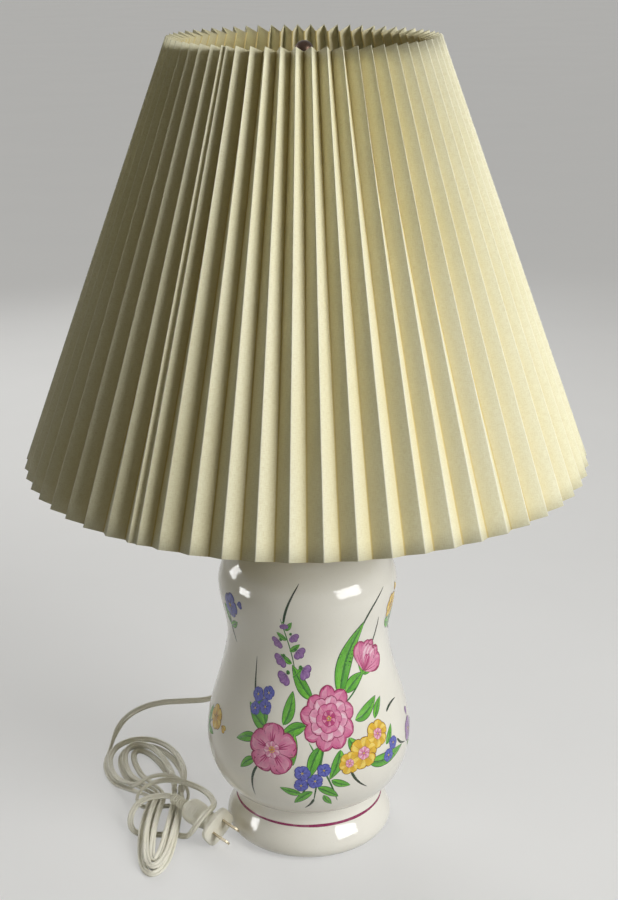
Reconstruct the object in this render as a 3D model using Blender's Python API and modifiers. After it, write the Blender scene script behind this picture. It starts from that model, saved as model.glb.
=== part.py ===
"""Table lamp: a glazed ceramic body on a wide foot, a harp, and a pleated paper shade.

Metres, +Z up. The origin is on the lamp's axis, at the table. The front is -Y, and the cord leaves
at the back.
"""
import bpy
import bmesh
from math import asin, atan2, cos, pi, radians, sin, sqrt, tau
from mathutils import Matrix, Vector
import numpy as np

# Clearances shared by every seat
SEAT_GAP = 0.0003
CUT_OVERRUN = 0.002
MERGE = 0.00001

# Ceramic body, heights above the table
BODY_HEIGHT = 0.268
BODY_WALL = 0.005
FOOT_BASE_RADIUS = 0.056
FOOT_LAND = 0.008
FOOT_RADIUS = 0.0682
FOOT_RIM_Z = 0.010
FOOT_NECK_RADIUS = 0.0592
FOOT_NECK_Z = 0.034
BELLY_RADIUS = 0.0832
BELLY_Z = 0.088
BELLY_TUCK_SHARE = 0.25
BELLY_DROP = 0.048
WAIST_RADIUS = 0.0648
WAIST_Z = 0.177
SHOULDER_RADIUS = 0.0712
SHOULDER_Z = 0.221
SHOULDER_RISE = 0.035
COLLAR_RADIUS = 0.033
COLLAR_EDGE = 0.0015
BODY_SIDES = 40

# Threaded pipe and what it clamps
PIPE_RADIUS = 0.005
PIPE_BORE = 0.0034
PIPE_TAIL = 0.006
PIPE_INTO_SOCKET = 0.0075
BODY_HOLE_CLEARANCE = 0.0008
RUBBER_WASHER_RADIUS = 0.012
RUBBER_WASHER_THICKNESS = 0.002
STEEL_WASHER_RADIUS = 0.014
STEEL_WASHER_THICKNESS = 0.0015
NUT_ACROSS_FLATS = 0.0145
NUT_HEIGHT = 0.004

# Brass cap over the collar and the turned neck above it
CAP_OVERHANG = 0.0016
CAP_LIP = 0.006
CAP_WALL = 0.0012
CAP_RISE = 0.011
CAP_CROWN_RADIUS = 0.012
CAP_SHELF_SHARE = 0.75
NECK_HEIGHT = 0.024
NECK_RADIUS = 0.012
NECK_WAIST_RADIUS = 0.007
NECK_SHARES = [(0.92, 1.0), (0.92, 0.94), (0.66, 0.84), (0.0, 0.60),
               (0.25, 0.34), (0.80, 0.16), (1.0, 0.06), (1.0, 0.0)]

# Harp and its saddle
SADDLE_WIDTH = 0.012
SADDLE_THICKNESS = 0.0016
SADDLE_SEAT_HALF = 0.0125
SADDLE_PAD_START = 0.024
SADDLE_RISE = 0.006
SADDLE_PAD_END = 0.0335
SADDLE_PIN_RADIUS = 0.0017
SADDLE_PIN_HEIGHT = 0.010
HARP_HEIGHT = 0.3036
HARP_LEG_HALF_SPAN = 0.029
HARP_HALF_WIDTH = 0.057
HARP_WIDEST_SHARE = 0.40
HARP_WIRE_RADIUS = 0.0019
HARP_STRAIGHT = 0.034
HARP_BOSS_RADIUS = 0.007
HARP_BOSS_THICKNESS = 0.0046
SLEEVE_LENGTH = 0.018
SLEEVE_WALL = 0.0016
SLEEVE_CLEARANCE = 0.00035
STUD_SHANK_RADIUS = 0.0022
STUD_HEAD_RADIUS = 0.0042
STUD_HEAD_THICKNESS = 0.0015
STUD_FLANGE_RADIUS = 0.0075
STUD_FLANGE_THICKNESS = 0.002
STUD_POST_RADIUS = 0.0031
STUD_POST_HEIGHT = 0.013

# Finial
FINIAL_HEIGHT = 0.0222
FINIAL_BASE_RADIUS = 0.0062
FINIAL_NECK_RADIUS = 0.0042
FINIAL_BALL_RADIUS = 0.0068
FINIAL_SKIRT_HEIGHT = 0.004

# Shade: the pleats' outer folds run from the upper rim down to the lower one
SHADE_BOTTOM_RADIUS = 0.2159
SHADE_TOP_RADIUS = 0.0984
SHADE_HEIGHT = 0.314
PLEAT_COUNT = 60
PLEAT_DEPTH = 0.0085
PAPER_THICKNESS = 0.0005
SPIDER_DROP = 0.0285
SPIDER_RADIUS = 0.011
SPIDER_THICKNESS = 0.002
SPIDER_HOLE_CLEARANCE = 0.0005
SPIDER_ARM_WIDTH = 0.005
SPIDER_ARMS = 3
SPIDER_ARM_SHARE = 0.98
FIRST_ARM_DEG = 60.0
RING_WIRE_RADIUS = 0.0015
RING_SIDES = 36
BOTTOM_RING_RISE = 0.012
STRUT_RADIUS = 0.0012

# Socket, heights above its own foot on the saddle
SOCKET_HUB_RADIUS = 0.0085
SOCKET_HUB_HEIGHT = 0.0075
SOCKET_CAP_RADIUS = 0.0174
SOCKET_CAP_HEIGHT = 0.025
SOCKET_WALL = 0.0009
SOCKET_SIDE_SHARE = 0.5
SOCKET_SHOULDER_SHARE = 0.34
SOCKET_FLARE_SHARE = 0.1
SHELL_LAP = 0.006
SHELL_BEAD = 0.0012
SHELL_BEAD_HEIGHT = 0.0028
SHELL_TOP = 0.062
LINER_WALL = 0.0005
SWITCH_BLOCK_BOTTOM = 0.012
SWITCH_BLOCK_TOP = 0.034
SWITCH_BLOCK_NECK_RADIUS = 0.010
SCREW_SHELL_BORE = 0.0133
SCREW_SHELL_WALL = 0.0004
SCREW_SHELL_HEIGHT = 0.023
THREAD_DEPTH = 0.0004
THREAD_PITCH = 0.0036
CONTACT_RADIUS = 0.003
CONTACT_HEIGHT = 0.0016
CONTACT_SHARES = [(0.0, 1.0), (0.7, 0.8), (1.0, 0.4), (1.0, 0.0), (0.0, 0.0)]
TERMINAL_HEAD_RADIUS = 0.0025
TERMINAL_HEAD_HEIGHT = 0.0015
TERMINAL_SHARES = [(0.0, 1.0), (0.8, 1.0), (1.0, 0.6), (1.0, 0.0), (0.0, 0.0)]
TERMINAL_Z = 0.0155
SWITCH_Z = 0.0306
SWITCH_SHAFT_RADIUS = 0.0019
SWITCH_SHAFT_CLEARANCE = 0.0004
SWITCH_SHAFT_INNER = 0.006
KNOB_RADIUS = 0.0055
KNOB_FLUTE = 0.0005
KNOB_LOBES = 10
KNOB_LENGTH = 0.014
KNOB_GRIP_SHARE = 0.8
KNOB_START = 0.0195

# Bulb, heights above its tip contact's underside
BULB_LENGTH = 0.106
BULB_RADIUS = 0.030
BULB_WALL = 0.0008
BULB_NECK_RADIUS = 0.0116
BULB_BALL_TURN = 2.0 * pi / 3.0
BULB_BALL_STEPS = 8
BULB_THROAT_SHARE = 0.25
BULB_THROAT_STEPS = 4
BULB_BASE_RADIUS = 0.0130
BULB_BASE_WALL = 0.0005
BULB_BASE_BOTTOM = 0.0045
BULB_BASE_TOP = 0.0265
BULB_TIP_RADIUS = 0.0042
BULB_TIP_HEIGHT = 0.0015
BULB_TIP_SHARES = [(0.0, 1.0), (1.0, 1.0), (0.8, 0.4), (0.4, 0.0), (0.0, 0.0)]
INSULATOR_RADIUS = 0.0095
BULB_SEAT_GAP = 0.0004

# Cord: a flat twin lead, drawn as a round tube of the same section
CORD_RADIUS = 0.0019
CORD_STEP = 0.009
TIE_STEP = 0.0057
CORD_EXIT_Z = 0.075
GAP_STRETCH = 0.016
BUSHING_SLEEVE_RADIUS = 0.0043
BUSHING_COLLAR_RADIUS = 0.0066
BUSHING_COLLAR_THICKNESS = 0.002
BUSHING_NOSE_RADIUS = 0.0032
BUSHING_NOSE_LENGTH = 0.022
BUSHING_INSIDE = 0.003
INSIDE_CORD_RADIUS = 0.0019

# Lead from the bushing to the hank, chosen by hand
LEAD_ROUTE = [
    (-0.006, 0.124, 0.071), (-0.024, 0.131, 0.0655), (-0.048, 0.130, 0.059), (-0.072, 0.122, 0.053),
    (-0.092, 0.114, 0.0495), (-0.112, 0.111, 0.0495), (-0.133, 0.111, 0.048), (-0.150, 0.113, 0.042),
    (-0.163, 0.115, 0.033), (-0.1715, 0.116, 0.023), (-0.177, 0.114, 0.0125), (-0.180, 0.1075, 0.005),
]
# Two wraps round the hank's waist, a loop over the plug, under the folds and over to the plug
TIE_ROUTE = [
    (-0.1469, 0.0266, 0.0156), (-0.1405, 0.0298, 0.0186), (-0.132, 0.0328, 0.02), (-0.122, 0.0332, 0.0202),
    (-0.1128, 0.0308, 0.0188), (-0.1065, 0.0265, 0.0148), (-0.1032, 0.0215, 0.0094),
    (-0.1038, 0.0176, 0.0046), (-0.1084, 0.0152, 0.0021), (-0.116, 0.014, 0.0021),
    (-0.126, 0.0125, 0.0021), (-0.138, 0.011, 0.0022), (-0.1446, 0.011, 0.0046), (-0.147, 0.013, 0.0096),
    (-0.1442, 0.0165, 0.0146), (-0.137, 0.021, 0.0182), (-0.128, 0.0248, 0.0196),
    (-0.1185, 0.0256, 0.0202), (-0.1088, 0.023, 0.0203), (-0.0995, 0.018, 0.0196),
    (-0.0913, 0.0115, 0.0196), (-0.0848, 0.002, 0.0206), (-0.0805, -0.01, 0.0226),
    (-0.0786, -0.021, 0.0251), (-0.0802, -0.03, 0.0266), (-0.0855, -0.0375, 0.0262),
    (-0.0908, -0.0415, 0.0205), (-0.0958, -0.042, 0.0125), (-0.1, -0.0392, 0.0064),
    (-0.1048, -0.034, 0.0033), (-0.11, -0.0306, 0.0021), (-0.117, -0.0298, 0.0021),
    (-0.125, -0.03, 0.0021), (-0.135, -0.0296, 0.0021), (-0.143, -0.0275, 0.0024),
    (-0.1476, -0.0225, 0.0038), (-0.1492, -0.0158, 0.007), (-0.1478, -0.0086, 0.0112),
    (-0.143, -0.003, 0.0156), (-0.1355, 0.0, 0.0184), (-0.127, 0.0012, 0.0196), (-0.1205, 0.0008, 0.0199),
]
# Cord inside the body, from the bushing up to the pipe
INSIDE_ROUTE = [(0.0, 0.066, 0.0745), (0.0, 0.050, 0.078), (0.0, 0.034, 0.098), (0.0, 0.020, 0.135),
                (0.0, 0.008, 0.185), (0.0, 0.0, 0.225)]

# Hank: loops round a drawn-in waist, spiralling in on the table and out again one layer up
HANK_X = -0.121
HANK_Y = 0.020
HANK_UPPER_REACH = 0.108
HANK_LOWER_REACH = 0.109
HANK_UPPER_STEP = 0.0085
HANK_LOWER_STEP = 0.0088
HANK_WAIST_HALF = 0.0137
HANK_WAIST_STEP = 0.00495
HANK_UPPER_SWELL = 0.0513
HANK_UPPER_SWELL_STEP = 0.0188
HANK_LOWER_SWELL = 0.0105
HANK_LOWER_SWELL_STEP = 0.0035
HANK_LAYER = 0.0048
HANK_LIFT = 0.0049
HANK_UPPER_TURN_DEG = 22.0
HANK_LOWER_TURN_DEG = -2.0
HANK_START_DEG = 36.0
HANK_REVERSAL_DEG = 810.0
HANK_END_DEG = 1516.0
HANK_POINTS_PER_LOOP = 24
HANK_TURN_SPAN = 0.060
HANK_LIFT_FROM = -0.088
HANK_LIFT_RUN_IN = 0.035
HANK_LIFT_TO = 0.052
HANK_LIFT_RUN_OUT = 0.030
HANK_SMOOTHING_SHARE = 0.03
HANK_BLEND_SHARE = 0.25

# Plug, along its own axis from the cord's end to the blades' tips
PLUG_START = (-0.1135, -0.0025, 0.0195)
PLUG_DIRECTION = (0.716, -0.695, -0.067)
PLUG_ROLL_DEG = 35.0
PLUG_NECK_LENGTH = 0.017
PLUG_NECK_RADIUS = 0.0046
PLUG_NECK_RIBS = 5
PLUG_RIB_DEPTH = 0.0009
PLUG_RIB_SHARES = (0.30, 0.70)
PLUG_LENGTH = 0.056
PLUG_GRIP_HALF_WIDTH = 0.0102
PLUG_GRIP_HALF_HEIGHT = 0.0086
PLUG_WAIST_HALF_WIDTH = 0.0074
PLUG_WAIST_HALF_HEIGHT = 0.0066
PLUG_FLANGE_HALF_WIDTH = 0.015
PLUG_FLANGE_HALF_HEIGHT = 0.0116
PLUG_FLANGE_THICKNESS = 0.004
PLUG_SIDES = 16
PLUG_ROUND_POWER = 2.0
PLUG_GRIP_POWER = 2.4
PLUG_FLARE_POWER = 3.0
PLUG_FLANGE_POWER = 4.0
PLUG_GRIP_SHARES = [(0.02, 0.55), (0.08, 0.86), (0.18, 1.0), (0.42, 0.97), (0.60, 0.86)]
PLUG_WAIST_SHARES = [(0.77, 1.0)]
PLUG_FLARE_SHARES = [(0.90, 0.64), (0.985, 0.86)]
BLADE_WIDTH = 0.0063
BLADE_THICKNESS = 0.0015
BLADE_LENGTH = 0.0165
BLADE_HALF_SPACING = 0.00635

# Places that follow from the sizes above
CAP_SEAT_Z = BODY_HEIGHT + SEAT_GAP
CAP_TOP_Z = CAP_SEAT_Z + CAP_RISE
NECK_BOTTOM_Z = CAP_TOP_Z + SEAT_GAP
SADDLE_Z = NECK_BOTTOM_Z + NECK_HEIGHT + SEAT_GAP
SADDLE_TOP_Z = SADDLE_Z + SADDLE_THICKNESS
SOCKET_Z = SADDLE_TOP_Z + SEAT_GAP
PIPE_TOP_Z = SOCKET_Z + PIPE_INTO_SOCKET
PIPE_HOLE_RADIUS = PIPE_RADIUS + SEAT_GAP
PAD_TOP_Z = SADDLE_TOP_Z + SADDLE_RISE
LEG_BOTTOM_Z = PAD_TOP_Z + SADDLE_PIN_HEIGHT + SEAT_GAP
HARP_BOSS_TOP_Z = SADDLE_TOP_Z + HARP_HEIGHT
HARP_WIRE_TOP_Z = HARP_BOSS_TOP_Z - HARP_BOSS_THICKNESS / 2
STUD_FLANGE_TOP_Z = HARP_BOSS_TOP_Z + SEAT_GAP + STUD_FLANGE_THICKNESS
SPIDER_Z = STUD_FLANGE_TOP_Z + SEAT_GAP
FINIAL_Z = SPIDER_Z + SPIDER_THICKNESS + SEAT_GAP
SHADE_TOP_Z = SPIDER_Z + SPIDER_DROP
SHADE_BOTTOM_Z = SHADE_TOP_Z - SHADE_HEIGHT
SHELL_RADIUS = SOCKET_CAP_RADIUS - SOCKET_WALL - SEAT_GAP
LINER_RADIUS = SHELL_RADIUS - SOCKET_WALL - SEAT_GAP
SWITCH_BLOCK_RADIUS = LINER_RADIUS - LINER_WALL - SEAT_GAP
SCREW_SHELL_Z = SOCKET_Z + SWITCH_BLOCK_TOP + SEAT_GAP
CONTACT_Z = SOCKET_Z + SWITCH_BLOCK_TOP + SEAT_GAP
BULB_Z = CONTACT_Z + CONTACT_HEIGHT + BULB_SEAT_GAP
SHADE_LEAN = atan2(SHADE_BOTTOM_RADIUS - SHADE_TOP_RADIUS, SHADE_HEIGHT)

PARTS = bpy.data.collections.new("table_lamp")
CUTTERS = bpy.data.collections.new("cutters")


def clear_scene():
    for item in list(bpy.data.objects):
        bpy.data.objects.remove(item)
    for collection in (PARTS, CUTTERS):
        bpy.context.scene.collection.children.link(collection)


def make_material(name, colour, roughness, metallic=0.0, alpha=1.0):
    material = bpy.data.materials.new(name)
    material.use_nodes = True
    shader = material.node_tree.nodes["Principled BSDF"]
    shader.inputs["Base Color"].default_value = (*colour, 1.0)
    shader.inputs["Roughness"].default_value = roughness
    shader.inputs["Metallic"].default_value = metallic
    shader.inputs["Alpha"].default_value = alpha
    return material


def add_object(name, data, material, location=(0.0, 0.0, 0.0), collection=PARTS):
    item = bpy.data.objects.new(name, data)
    item.location = location
    if material is not None:
        data.materials.append(material)
    collection.objects.link(item)
    return item


def smoothstep(share):
    share = min(max(share, 0.0), 1.0)
    return share * share * (3.0 - 2.0 * share)


def ease(start, end, share):
    return start + (end - start) * smoothstep(share)


def turned(name, profile, sides, material, location=(0.0, 0.0, 0.0), closed=True):
    """Revolve a profile of (radius, height) points, listed down the outer side first."""
    mesh = bpy.data.meshes.new(name)
    points = [(radius, 0.0, height) for radius, height in profile]
    edges = [(i, i + 1) for i in range(len(points) - 1)]
    if closed:
        edges.append((len(points) - 1, 0))
    mesh.from_pydata(points, edges, [])
    item = add_object(name, mesh, material, location)
    screw = item.modifiers.new("turn", "SCREW")
    screw.axis = "Z"
    screw.angle = tau
    screw.steps = sides
    screw.render_steps = sides
    screw.use_merge_vertices = True
    screw.merge_threshold = MERGE
    screw.use_smooth_shade = True
    return item


def disc_with_hole(name, radius, hole, thickness, sides, material, z):
    profile = [(radius, thickness), (radius, 0.0), (hole, 0.0), (hole, thickness)]
    return turned(name, profile, sides, material, (0.0, 0.0, z))


def poly_tube(name, points, radius, material, resolution=2):
    curve = bpy.data.curves.new(name, "CURVE")
    curve.dimensions = "3D"
    curve.bevel_depth = radius
    curve.bevel_resolution = resolution
    curve.use_fill_caps = True
    spline = curve.splines.new("POLY")
    spline.points.add(len(points) - 1)
    for target, point in zip(spline.points, points):
        target.co = (*point, 1.0)
    return add_object(name, curve, material)


def flat_outline(name, outlines, thickness, material, location=(0.0, 0.0, 0.0),
                 rotation=(0.0, 0.0, 0.0)):
    """Extrude flat outlines, the first one the outer edge and the others its holes."""
    curve = bpy.data.curves.new(name, "CURVE")
    curve.dimensions = "2D"
    curve.fill_mode = "BOTH"
    curve.extrude = thickness / 2
    for outline in outlines:
        spline = curve.splines.new("POLY")
        spline.points.add(len(outline) - 1)
        spline.use_cyclic_u = True
        for target, point in zip(spline.points, outline):
            target.co = (point[0], point[1], 0.0, 1.0)
    item = add_object(name, curve, material, location)
    item.rotation_euler = rotation
    return item


def as_mesh(item):
    """Turn a curve object into a welded mesh object of the same name."""
    name = item.name
    material = item.data.materials[0]
    bpy.context.view_layer.update()
    graph = bpy.context.evaluated_depsgraph_get()
    mesh = bpy.data.meshes.new_from_object(item.evaluated_get(graph))
    work = bmesh.new()
    work.from_mesh(mesh)
    bmesh.ops.remove_doubles(work, verts=work.verts, dist=MERGE)
    bmesh.ops.recalc_face_normals(work, faces=work.faces)
    work.to_mesh(mesh)
    work.free()
    place = item.matrix_world.copy()
    bpy.data.objects.remove(item)
    mesh.materials.clear()
    made = add_object(name, mesh, material)
    made.name = name
    made.matrix_world = place
    return made


def cylinder_cutter(name, radius, depth, location, rotation=(0.0, 0.0, 0.0), sides=24):
    mesh = bpy.data.meshes.new(name)
    work = bmesh.new()
    bmesh.ops.create_cone(work, cap_ends=True, segments=sides, radius1=radius, radius2=radius, depth=depth)
    work.to_mesh(mesh)
    work.free()
    item = add_object(name, mesh, None, location, CUTTERS)
    item.rotation_euler = rotation
    item.hide_render = True
    item.display_type = "WIRE"
    return item


def block_mesh(name, size, location, rotation_z=0.0, collection=CUTTERS):
    mesh = bpy.data.meshes.new(name)
    work = bmesh.new()
    bmesh.ops.create_cube(work, size=1.0, matrix=Matrix.Diagonal((*size, 1.0)))
    work.to_mesh(mesh)
    work.free()
    item = add_object(name, mesh, None, location, collection)
    item.rotation_euler = (0.0, 0.0, rotation_z)
    item.hide_render = True
    item.display_type = "WIRE"
    return item


def combine(item, tool, operation):
    step = item.modifiers.new(operation.lower(), "BOOLEAN")
    step.operation = operation
    step.object = tool
    step.solver = "EXACT"
    return step


def offset_inward(points, distance):
    """Move a profile's points inward along their mitred normals."""
    moved = []
    count = len(points)
    for i in range(count):
        normals = []
        for a, b in ((i - 1, i), (i, i + 1)):
            if a < 0 or b >= count:
                continue
            run = Vector((points[b][0] - points[a][0], points[b][1] - points[a][1]))
            run.normalize()
            normals.append(Vector((run.y, -run.x)))
        mean = sum(normals, Vector((0.0, 0.0))) / len(normals)
        mean = mean / mean.length_squared
        moved.append((points[i][0] + mean.x * distance, points[i][1] + mean.y * distance))
    return moved


def body_outline(fine):
    """Outer profile of the body from its collar down to the foot; fine sets the points a stretch has."""
    dome_top = SHOULDER_Z + SHOULDER_RISE
    swell = (BELLY_RADIUS - FOOT_NECK_RADIUS) * (1.0 + BELLY_TUCK_SHARE)
    tuck_radius = BELLY_RADIUS - swell
    crease = sqrt(1.0 - (BELLY_TUCK_SHARE / (1.0 + BELLY_TUCK_SHARE)) ** 2)
    points = [(COLLAR_RADIUS, dome_top)]
    for i in range(1, fine + 1):
        angle = pi / 2 * (1.0 - i / fine)
        points.append((COLLAR_RADIUS + (SHOULDER_RADIUS - COLLAR_RADIUS) * cos(angle),
                       SHOULDER_Z + SHOULDER_RISE * sin(angle)))
    for i in range(1, fine):
        share = i / (fine - 1)
        height = SHOULDER_Z + (WAIST_Z - SHOULDER_Z) * share
        points.append((ease(SHOULDER_RADIUS, WAIST_RADIUS, share), height))
    for i in range(1, fine + 1):
        share = i / fine
        points.append((ease(WAIST_RADIUS, BELLY_RADIUS, share), WAIST_Z + (BELLY_Z - WAIST_Z) * share))
    last = asin(crease)
    for i in range(1, fine + 1):
        angle = last * i / fine
        points.append((tuck_radius + swell * cos(angle), BELLY_Z - BELLY_DROP * sin(angle)))
    points.append((FOOT_NECK_RADIUS, FOOT_NECK_Z))
    for i in range(1, fine):
        share = i / (fine - 1)
        height = FOOT_NECK_Z + (FOOT_RIM_Z - FOOT_NECK_Z) * share
        points.append((ease(FOOT_NECK_RADIUS, FOOT_RADIUS, share), height))
    for i in range(1, fine):
        angle = pi / 2 * i / (fine - 1)
        points.append((FOOT_BASE_RADIUS + (FOOT_RADIUS - FOOT_BASE_RADIUS) * cos(angle),
                       FOOT_RIM_Z - FOOT_RIM_Z * sin(angle)))
    return points


def body_radius_at(height):
    """Outer radius of the body at a height, read from its profile."""
    points = body_outline(12)
    for (r0, z0), (r1, z1) in zip(points[:-1], points[1:]):
        if z1 <= height <= z0 and z0 > z1:
            return r0 + (r1 - r0) * (z0 - height) / (z0 - z1)
    return FOOT_RADIUS


def ceramic_body(material):
    hole = PIPE_RADIUS + BODY_HOLE_CLEARANCE
    outer = body_outline(5)
    inner = offset_inward(body_outline(3), BODY_WALL)
    land_inner = FOOT_BASE_RADIUS - FOOT_LAND
    edge_z = BODY_HEIGHT - COLLAR_EDGE
    profile = [(hole, BODY_HEIGHT), (COLLAR_RADIUS - COLLAR_EDGE, BODY_HEIGHT), (COLLAR_RADIUS, edge_z)]
    profile += outer
    profile.append((land_inner, 0.0))
    profile.append((land_inner, BODY_WALL))
    profile += inner[::-1]
    profile.append((COLLAR_RADIUS - BODY_WALL, BODY_HEIGHT - BODY_WALL))
    profile.append((hole, BODY_HEIGHT - BODY_WALL))
    body = turned("ceramic_body", profile, BODY_SIDES, material)
    wall_y = body_radius_at(CORD_EXIT_Z)
    depth = 2.0 * BODY_WALL + 2.0 * BUSHING_SLEEVE_RADIUS + 2.0 * CUT_OVERRUN
    cutter = cylinder_cutter("cord_hole", BUSHING_SLEEVE_RADIUS + SEAT_GAP, depth,
                             (0.0, wall_y - BODY_WALL / 2, CORD_EXIT_Z), (pi / 2, 0.0, 0.0), 16)
    combine(body, cutter, "DIFFERENCE")
    return body


def clamp_parts(rubber, steel, pipe_metal):
    """Rubber washer, steel washer, lock nut and pipe, under the body's top."""
    ceiling = BODY_HEIGHT - BODY_WALL
    rubber_z = ceiling - SEAT_GAP - RUBBER_WASHER_THICKNESS
    steel_z = rubber_z - SEAT_GAP - STEEL_WASHER_THICKNESS
    nut_z = steel_z - SEAT_GAP - NUT_HEIGHT
    hole = PIPE_HOLE_RADIUS
    thickness = RUBBER_WASHER_THICKNESS
    disc_with_hole("rubber_washer", RUBBER_WASHER_RADIUS, hole, thickness, 24, rubber, rubber_z)
    thickness = STEEL_WASHER_THICKNESS
    disc_with_hole("steel_washer", STEEL_WASHER_RADIUS, hole, thickness, 24, steel, steel_z)
    corner = NUT_ACROSS_FLATS / 2 / cos(pi / 6)
    hexagon = [(corner * cos(tau * i / 6), corner * sin(tau * i / 6)) for i in range(6)]
    bore = [(hole * cos(tau * i / 24), hole * sin(tau * i / 24)) for i in range(24)]
    flat_outline("lock_nut", [hexagon, bore], NUT_HEIGHT, steel, (0.0, 0.0, nut_z + NUT_HEIGHT / 2))
    pipe_bottom = nut_z - PIPE_TAIL
    length = PIPE_TOP_Z - pipe_bottom
    disc_with_hole("threaded_pipe", PIPE_RADIUS, PIPE_BORE, length, 24, pipe_metal, pipe_bottom)


def cap_and_neck(brass):
    rim = COLLAR_RADIUS + SEAT_GAP
    outer = rim + CAP_OVERHANG
    bead = CAP_OVERHANG
    crown = CAP_CROWN_RADIUS
    shelf = rim - bead - CAP_WALL
    step = shelf * CAP_SHELF_SHARE
    profile = [
        (crown, CAP_RISE), (crown + bead, CAP_RISE - bead / 2), (crown + 2 * bead, CAP_RISE - 2 * bead),
        (step, 2 * bead), (shelf, bead + CAP_WALL / 2), (rim, CAP_WALL), (outer, 0.0), (outer, -CAP_LIP),
        (rim, -CAP_LIP), (rim, 0.0), (shelf, bead - CAP_WALL / 2), (step, 2 * bead - CAP_WALL),
        (crown + 2 * bead, CAP_RISE - 2 * bead - CAP_WALL), (crown, CAP_RISE - CAP_WALL),
        (PIPE_HOLE_RADIUS, CAP_RISE - CAP_WALL), (PIPE_HOLE_RADIUS, CAP_RISE),
    ]
    turned("body_cap", profile, 32, brass, (0.0, 0.0, CAP_SEAT_Z))
    turning = NECK_RADIUS - NECK_WAIST_RADIUS
    neck = [(NECK_WAIST_RADIUS + turning * wide, NECK_HEIGHT * high) for wide, high in NECK_SHARES]
    neck += [(PIPE_HOLE_RADIUS, 0.0), (PIPE_HOLE_RADIUS, NECK_HEIGHT)]
    turned("neck_spacer", neck, 24, brass, (0.0, 0.0, NECK_BOTTOM_Z))


def harp_saddle(metal):
    """Bent strip with a hole for the pipe and a pin on each raised pad."""
    under = [(-SADDLE_PAD_END, SADDLE_RISE), (-SADDLE_PAD_START, SADDLE_RISE), (-SADDLE_SEAT_HALF, 0.0),
             (SADDLE_SEAT_HALF, 0.0), (SADDLE_PAD_START, SADDLE_RISE), (SADDLE_PAD_END, SADDLE_RISE)]
    upper = [(y, z + SADDLE_THICKNESS) for y, z in reversed(under)]
    strip = flat_outline("harp_saddle", [under + upper], SADDLE_WIDTH, metal, (0.0, 0.0, SADDLE_Z),
                         (pi / 2, 0.0, pi / 2))
    strip = as_mesh(strip)
    pin_height = SADDLE_PIN_HEIGHT + SADDLE_THICKNESS / 2
    for side, label in ((-1.0, "front"), (1.0, "rear")):
        place = (0.0, side * HARP_LEG_HALF_SPAN, PAD_TOP_Z + SADDLE_PIN_HEIGHT - pin_height / 2)
        pin = cylinder_cutter("pin_" + label, SADDLE_PIN_RADIUS, pin_height, place, sides=16)
        combine(strip, pin, "UNION")
    bore = cylinder_cutter("saddle_bore", PIPE_HOLE_RADIUS, SADDLE_THICKNESS + 2 * CUT_OVERRUN,
                           (0.0, 0.0, SADDLE_Z + SADDLE_THICKNESS / 2))
    combine(strip, bore, "DIFFERENCE")
    return strip


def harp_centreline():
    """Half of the bow from a leg's foot: straight, easing out, a quarter ellipse, flat under the boss."""
    flare_from = LEG_BOTTOM_Z + HARP_STRAIGHT
    points = [(HARP_LEG_HALF_SPAN, LEG_BOTTOM_Z), (HARP_LEG_HALF_SPAN, flare_from)]
    widest_z = LEG_BOTTOM_Z + (HARP_WIRE_TOP_Z - LEG_BOTTOM_Z) * HARP_WIDEST_SHARE
    steps = 7
    for i in range(1, steps + 1):
        half = ease(HARP_LEG_HALF_SPAN, HARP_HALF_WIDTH, i / steps)
        points.append((half, flare_from + (widest_z - flare_from) * i / steps))
    steps = 12
    for i in range(1, steps + 1):
        angle = pi / 2 * i / steps
        points.append((HARP_BOSS_RADIUS + (HARP_HALF_WIDTH - HARP_BOSS_RADIUS) * cos(angle),
                       widest_z + (HARP_WIRE_TOP_Z - widest_z) * sin(angle)))
    points.append((0.0, HARP_WIRE_TOP_Z))
    return points


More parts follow.
